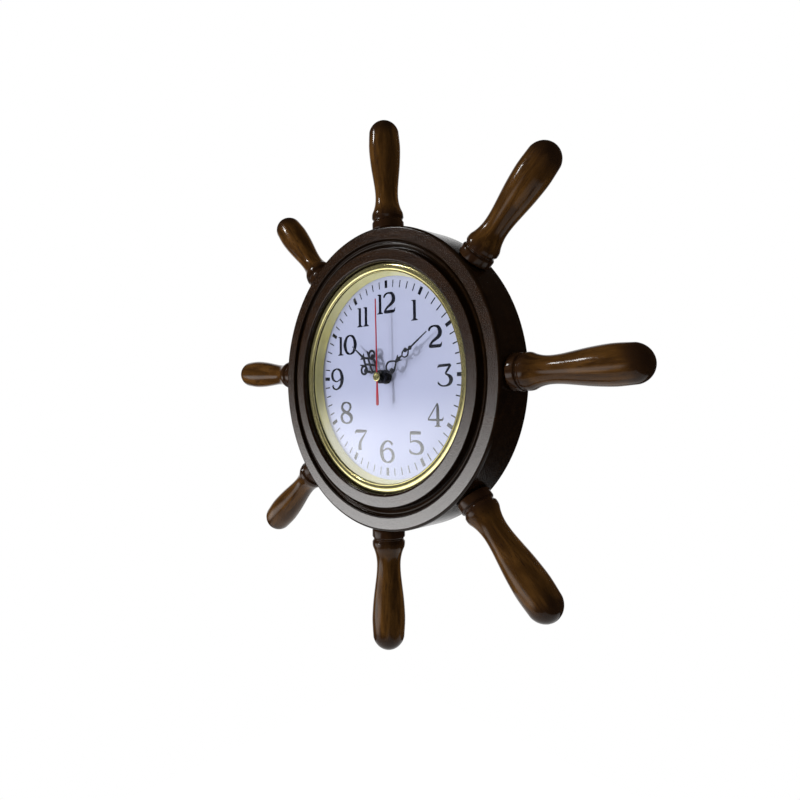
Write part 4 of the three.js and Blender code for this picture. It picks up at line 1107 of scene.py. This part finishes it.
minute_strips = [
    [(-0.2, 4, 1.0), (0, 6.5, 0.9), (0.6, 8.6, 0.7)],
    [(1, 8.3, 0.65), (-2.4, 9.3, 0.65), (-4, 12.4, 0.65), (-2.7, 16.2, 0.65), (0, 19.9, 0.6)],
    [(0.6, 8.3, 0.65), (3.9, 10, 0.7), (4.8, 13.3, 0.75), (2.9, 16.8, 0.7), (0, 19.9, 0.6)],
    [(0, 18.8, 0.5), (0, 20.8, 1.4), (0, 22.6, 1.6), (0, 24.6, 0.8), (0.1, 27.2, 0.5)],
    [(-2.8, 23.9, 0.1), (-1.5, 22.4, 0.6), (0.2, 21.2, 0.9)],
    [(2.6, 25.3, 0.1), (1.6, 23.5, 0.6), (0.1, 22, 0.9)],
    [(0.6, 26.8, 0.45), (-1.4, 28.5, 0.5), (-1.9, 30.6, 0.55), (-1, 33, 0.6), (0.3, 34.6, 0.5)],
    [(-0.2, 26.8, 0.45), (2.1, 27.9, 0.5), (3.2, 30.2, 0.5), (2.6, 32.5, 0.5), (0.3, 34.6, 0.5)],
    [(0.2, 33.6, 0.6), (0.1, 36, 0.8), (0.05, 40, 0.6), (0, 47, 0.5), (0, 55.7, 0.3)],
]
minute_balls = [(2.9, 12.6, 1.7), (-1.3, 32, 1.7), (0.1, 36.5, 1.6)]
minute_bore = 1.75 * mm
minute_hand = hand("stamped_minute_hand", "minute_hand", minute_strips, minute_balls, minute_bore)


def painted(name, light, dark, roughness):
    """Paint, plastic or plate: a little patchy in tone and in gloss."""
    tone = ((300, 3, 0.6), 0.35, 0.7)
    gloss = ((2000, 2, 0.5), 0.3, 0.7, roughness, roughness + 0.12)
    return finished(name, light, dark, tone, gloss)[0]


black_paint = painted("black_paint", (0.008, 0.009, 0.016, 1), (0.014, 0.015, 0.022, 1), 0.35)
hour_hand.data.materials.append(black_paint)
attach(hour_hand, "hour_hands")
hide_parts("hour_hand")
minute_hand.data.materials.append(black_paint)
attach(minute_hand, "minute_hands")
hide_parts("minute_hand")

# Second hand
# A thin straight pointer with a widening tail as counterweight, stamped from sheet and painted red.
# Its collar sits on the pin of the second wheel.
second_low, second_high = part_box("second_hand")
tail_radius = 1.3 * mm
tail_reach = 19.9 * mm
tail_turns = [math.radians(turn) for turn in range(180, 361, 15)]
tail = [(tail_radius * math.cos(t), tail_radius * math.sin(t) - tail_reach) for t in tail_turns]
left_edge = [(-0.5 * mm, 58.4 * mm), (-0.55 * mm, 0), (-0.75 * mm, -6 * mm), (-1.15 * mm, -13 * mm)]
right_edge = [(-across, up) for across, up in left_edge[::-1]]
second_hand = stamped([*left_edge, *tail, *right_edge], second_low.y, second_high.y)
second_hand.name = second_hand.data.name = "stamped_second_hand"
second_hand.matrix_world = Matrix.Rotation(far_turn("second_hand"), 4, "Y")
bpy.ops.object.transform_apply()
tidy_mesh(second_hand, 30)
red_paint = painted("red_paint", (0.42, 0.008, 0.025, 1), (0.32, 0.006, 0.02, 1), 0.4)
second_hand.data.materials.append(red_paint)
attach(second_hand, "second_hands")
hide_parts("second_hand")

# Button and collar
# A domed brass button covers the second hand's collar, which is turned and lacquered a glossy black.
# Both are pressed together over the hand and turn with it.
cap_low, cap_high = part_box("second_hand_cap")
cap_radius = cap_high.x
cap_depth = cap_high.y - cap_low.y
cap_profile = [
    (0, cap_low.y + 0.22 * cap_depth),
    *arc(0, cap_low.y + 0.05 * cap_depth, 1.9 * mm, 0.17 * cap_depth, 80, 10, 5),
    *arc(cap_radius - 0.9 * mm, cap_low.y + 0.5 * cap_depth, 0.9 * mm, 0.5 * cap_depth, -130, 0, 9),
    (cap_radius, cap_high.y),
    (0, cap_high.y),
]
cap = turned("domed_button", cap_profile, steps=64, smooth_angle=45)
cap.data.materials.append(brass)
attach(cap, "second_hands")
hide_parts("second_hand_cap")

collar_low, collar_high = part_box("second_hand_collar")
collar_radius = collar_high.x
collar_bore = 0.85 * mm
collar_edge = 0.3 * mm
collar_profile = [
    (collar_bore, collar_low.y),
    (collar_radius - collar_edge, collar_low.y),
    (collar_radius, collar_low.y + collar_edge),
    (collar_radius, collar_high.y - collar_edge),
    (collar_radius - collar_edge, collar_high.y),
    (collar_bore, collar_high.y),
    (collar_bore, collar_low.y),
]
bush = turned("turned_bush", collar_profile, steps=48, smooth_angle=30)
black_gloss = painted("black_gloss", (0.006, 0.008, 0.007, 1), (0.01, 0.012, 0.01, 1), 0.12)
bush.data.materials.append(black_gloss)
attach(bush, "second_hands")
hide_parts("second_hand_collar")

# Case and gasket
# The case is a moulded cup of black plastic that carries lens, reflector, dial and movement. A rubber
# band round it grips the rim's bore. Both keep the shapes of their solids.


def dressed(names, material):
    """The same finish on pieces that keep the shapes of their solids."""
    for name in names:
        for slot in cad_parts[name].material_slots:
            slot.material = material


case_plastic = painted("case_plastic", (0.012, 0.012, 0.013, 1), (0.02, 0.02, 0.021, 1), 0.45)
rubber = painted("gasket_rubber", (0.015, 0.015, 0.015, 1), (0.025, 0.025, 0.025, 1), 0.7)
dressed(["insert_case"], case_plastic)
dressed(["case_gasket"], rubber)

# Movement
# A plastic tray and its cover hold the motor, the circuit, the wheels and the cell. The nut, washer
# and pinion that show round the hands are blackened. All keep the shapes of their solids.
gear_plastic = painted("gear_plastic", (0.75, 0.72, 0.63, 1), (0.68, 0.65, 0.56, 1), 0.4)
steel = painted("bright_steel", (0.6, 0.61, 0.63, 1), (0.5, 0.51, 0.53, 1), 0.25)
steel.node_tree.nodes["Principled BSDF"].inputs["Metallic"].default_value = 1
copper = painted("enamelled_copper", (0.5, 0.16, 0.05, 1), (0.4, 0.12, 0.04, 1), 0.3)
board = painted("board_lacquer", (0.012, 0.09, 0.035, 1), (0.02, 0.12, 0.05, 1), 0.3)
jacket = painted("cell_jacket", (0.02, 0.025, 0.03, 1), (0.03, 0.035, 0.04, 1), 0.3)
blackened = painted("blackened_brass", (0.012, 0.012, 0.01, 1), (0.02, 0.019, 0.015, 1), 0.3)
wheels = ["intermediate_wheel", "second_wheel", "third_wheel", "centre_wheel", "reduction_wheel"]
dressed(["movement_tray", "movement_cover"], case_plastic)
dressed([*wheels, "hour_wheel", "setting_knob"], gear_plastic)
dressed(["rubber_washer"], rubber)
dressed(["rotor", "stator", "quartz_crystal", "contact_positive", "contact_negative"], steel)
dressed(["dial_washer", "hex_nut", "cannon_pinion"], blackened)
dressed(["coil"], copper)
dressed(["circuit_board"], board)
dressed(["battery_cell"], jacket)

# Keyhole plate
# A stamped plate of zinc-plated steel, let into the back of the rim and held by two screws. The nail
# in the wall goes into its slot. Plate and screws keep the shapes of their solids.
zinc = painted("zinc_plate", (0.62, 0.6, 0.52, 1), (0.5, 0.49, 0.45, 1), 0.3)
zinc.node_tree.nodes["Principled BSDF"].inputs["Metallic"].default_value = 1
dressed(["hanger_plate", "hanger_screw_1", "hanger_screw_2"], zinc)
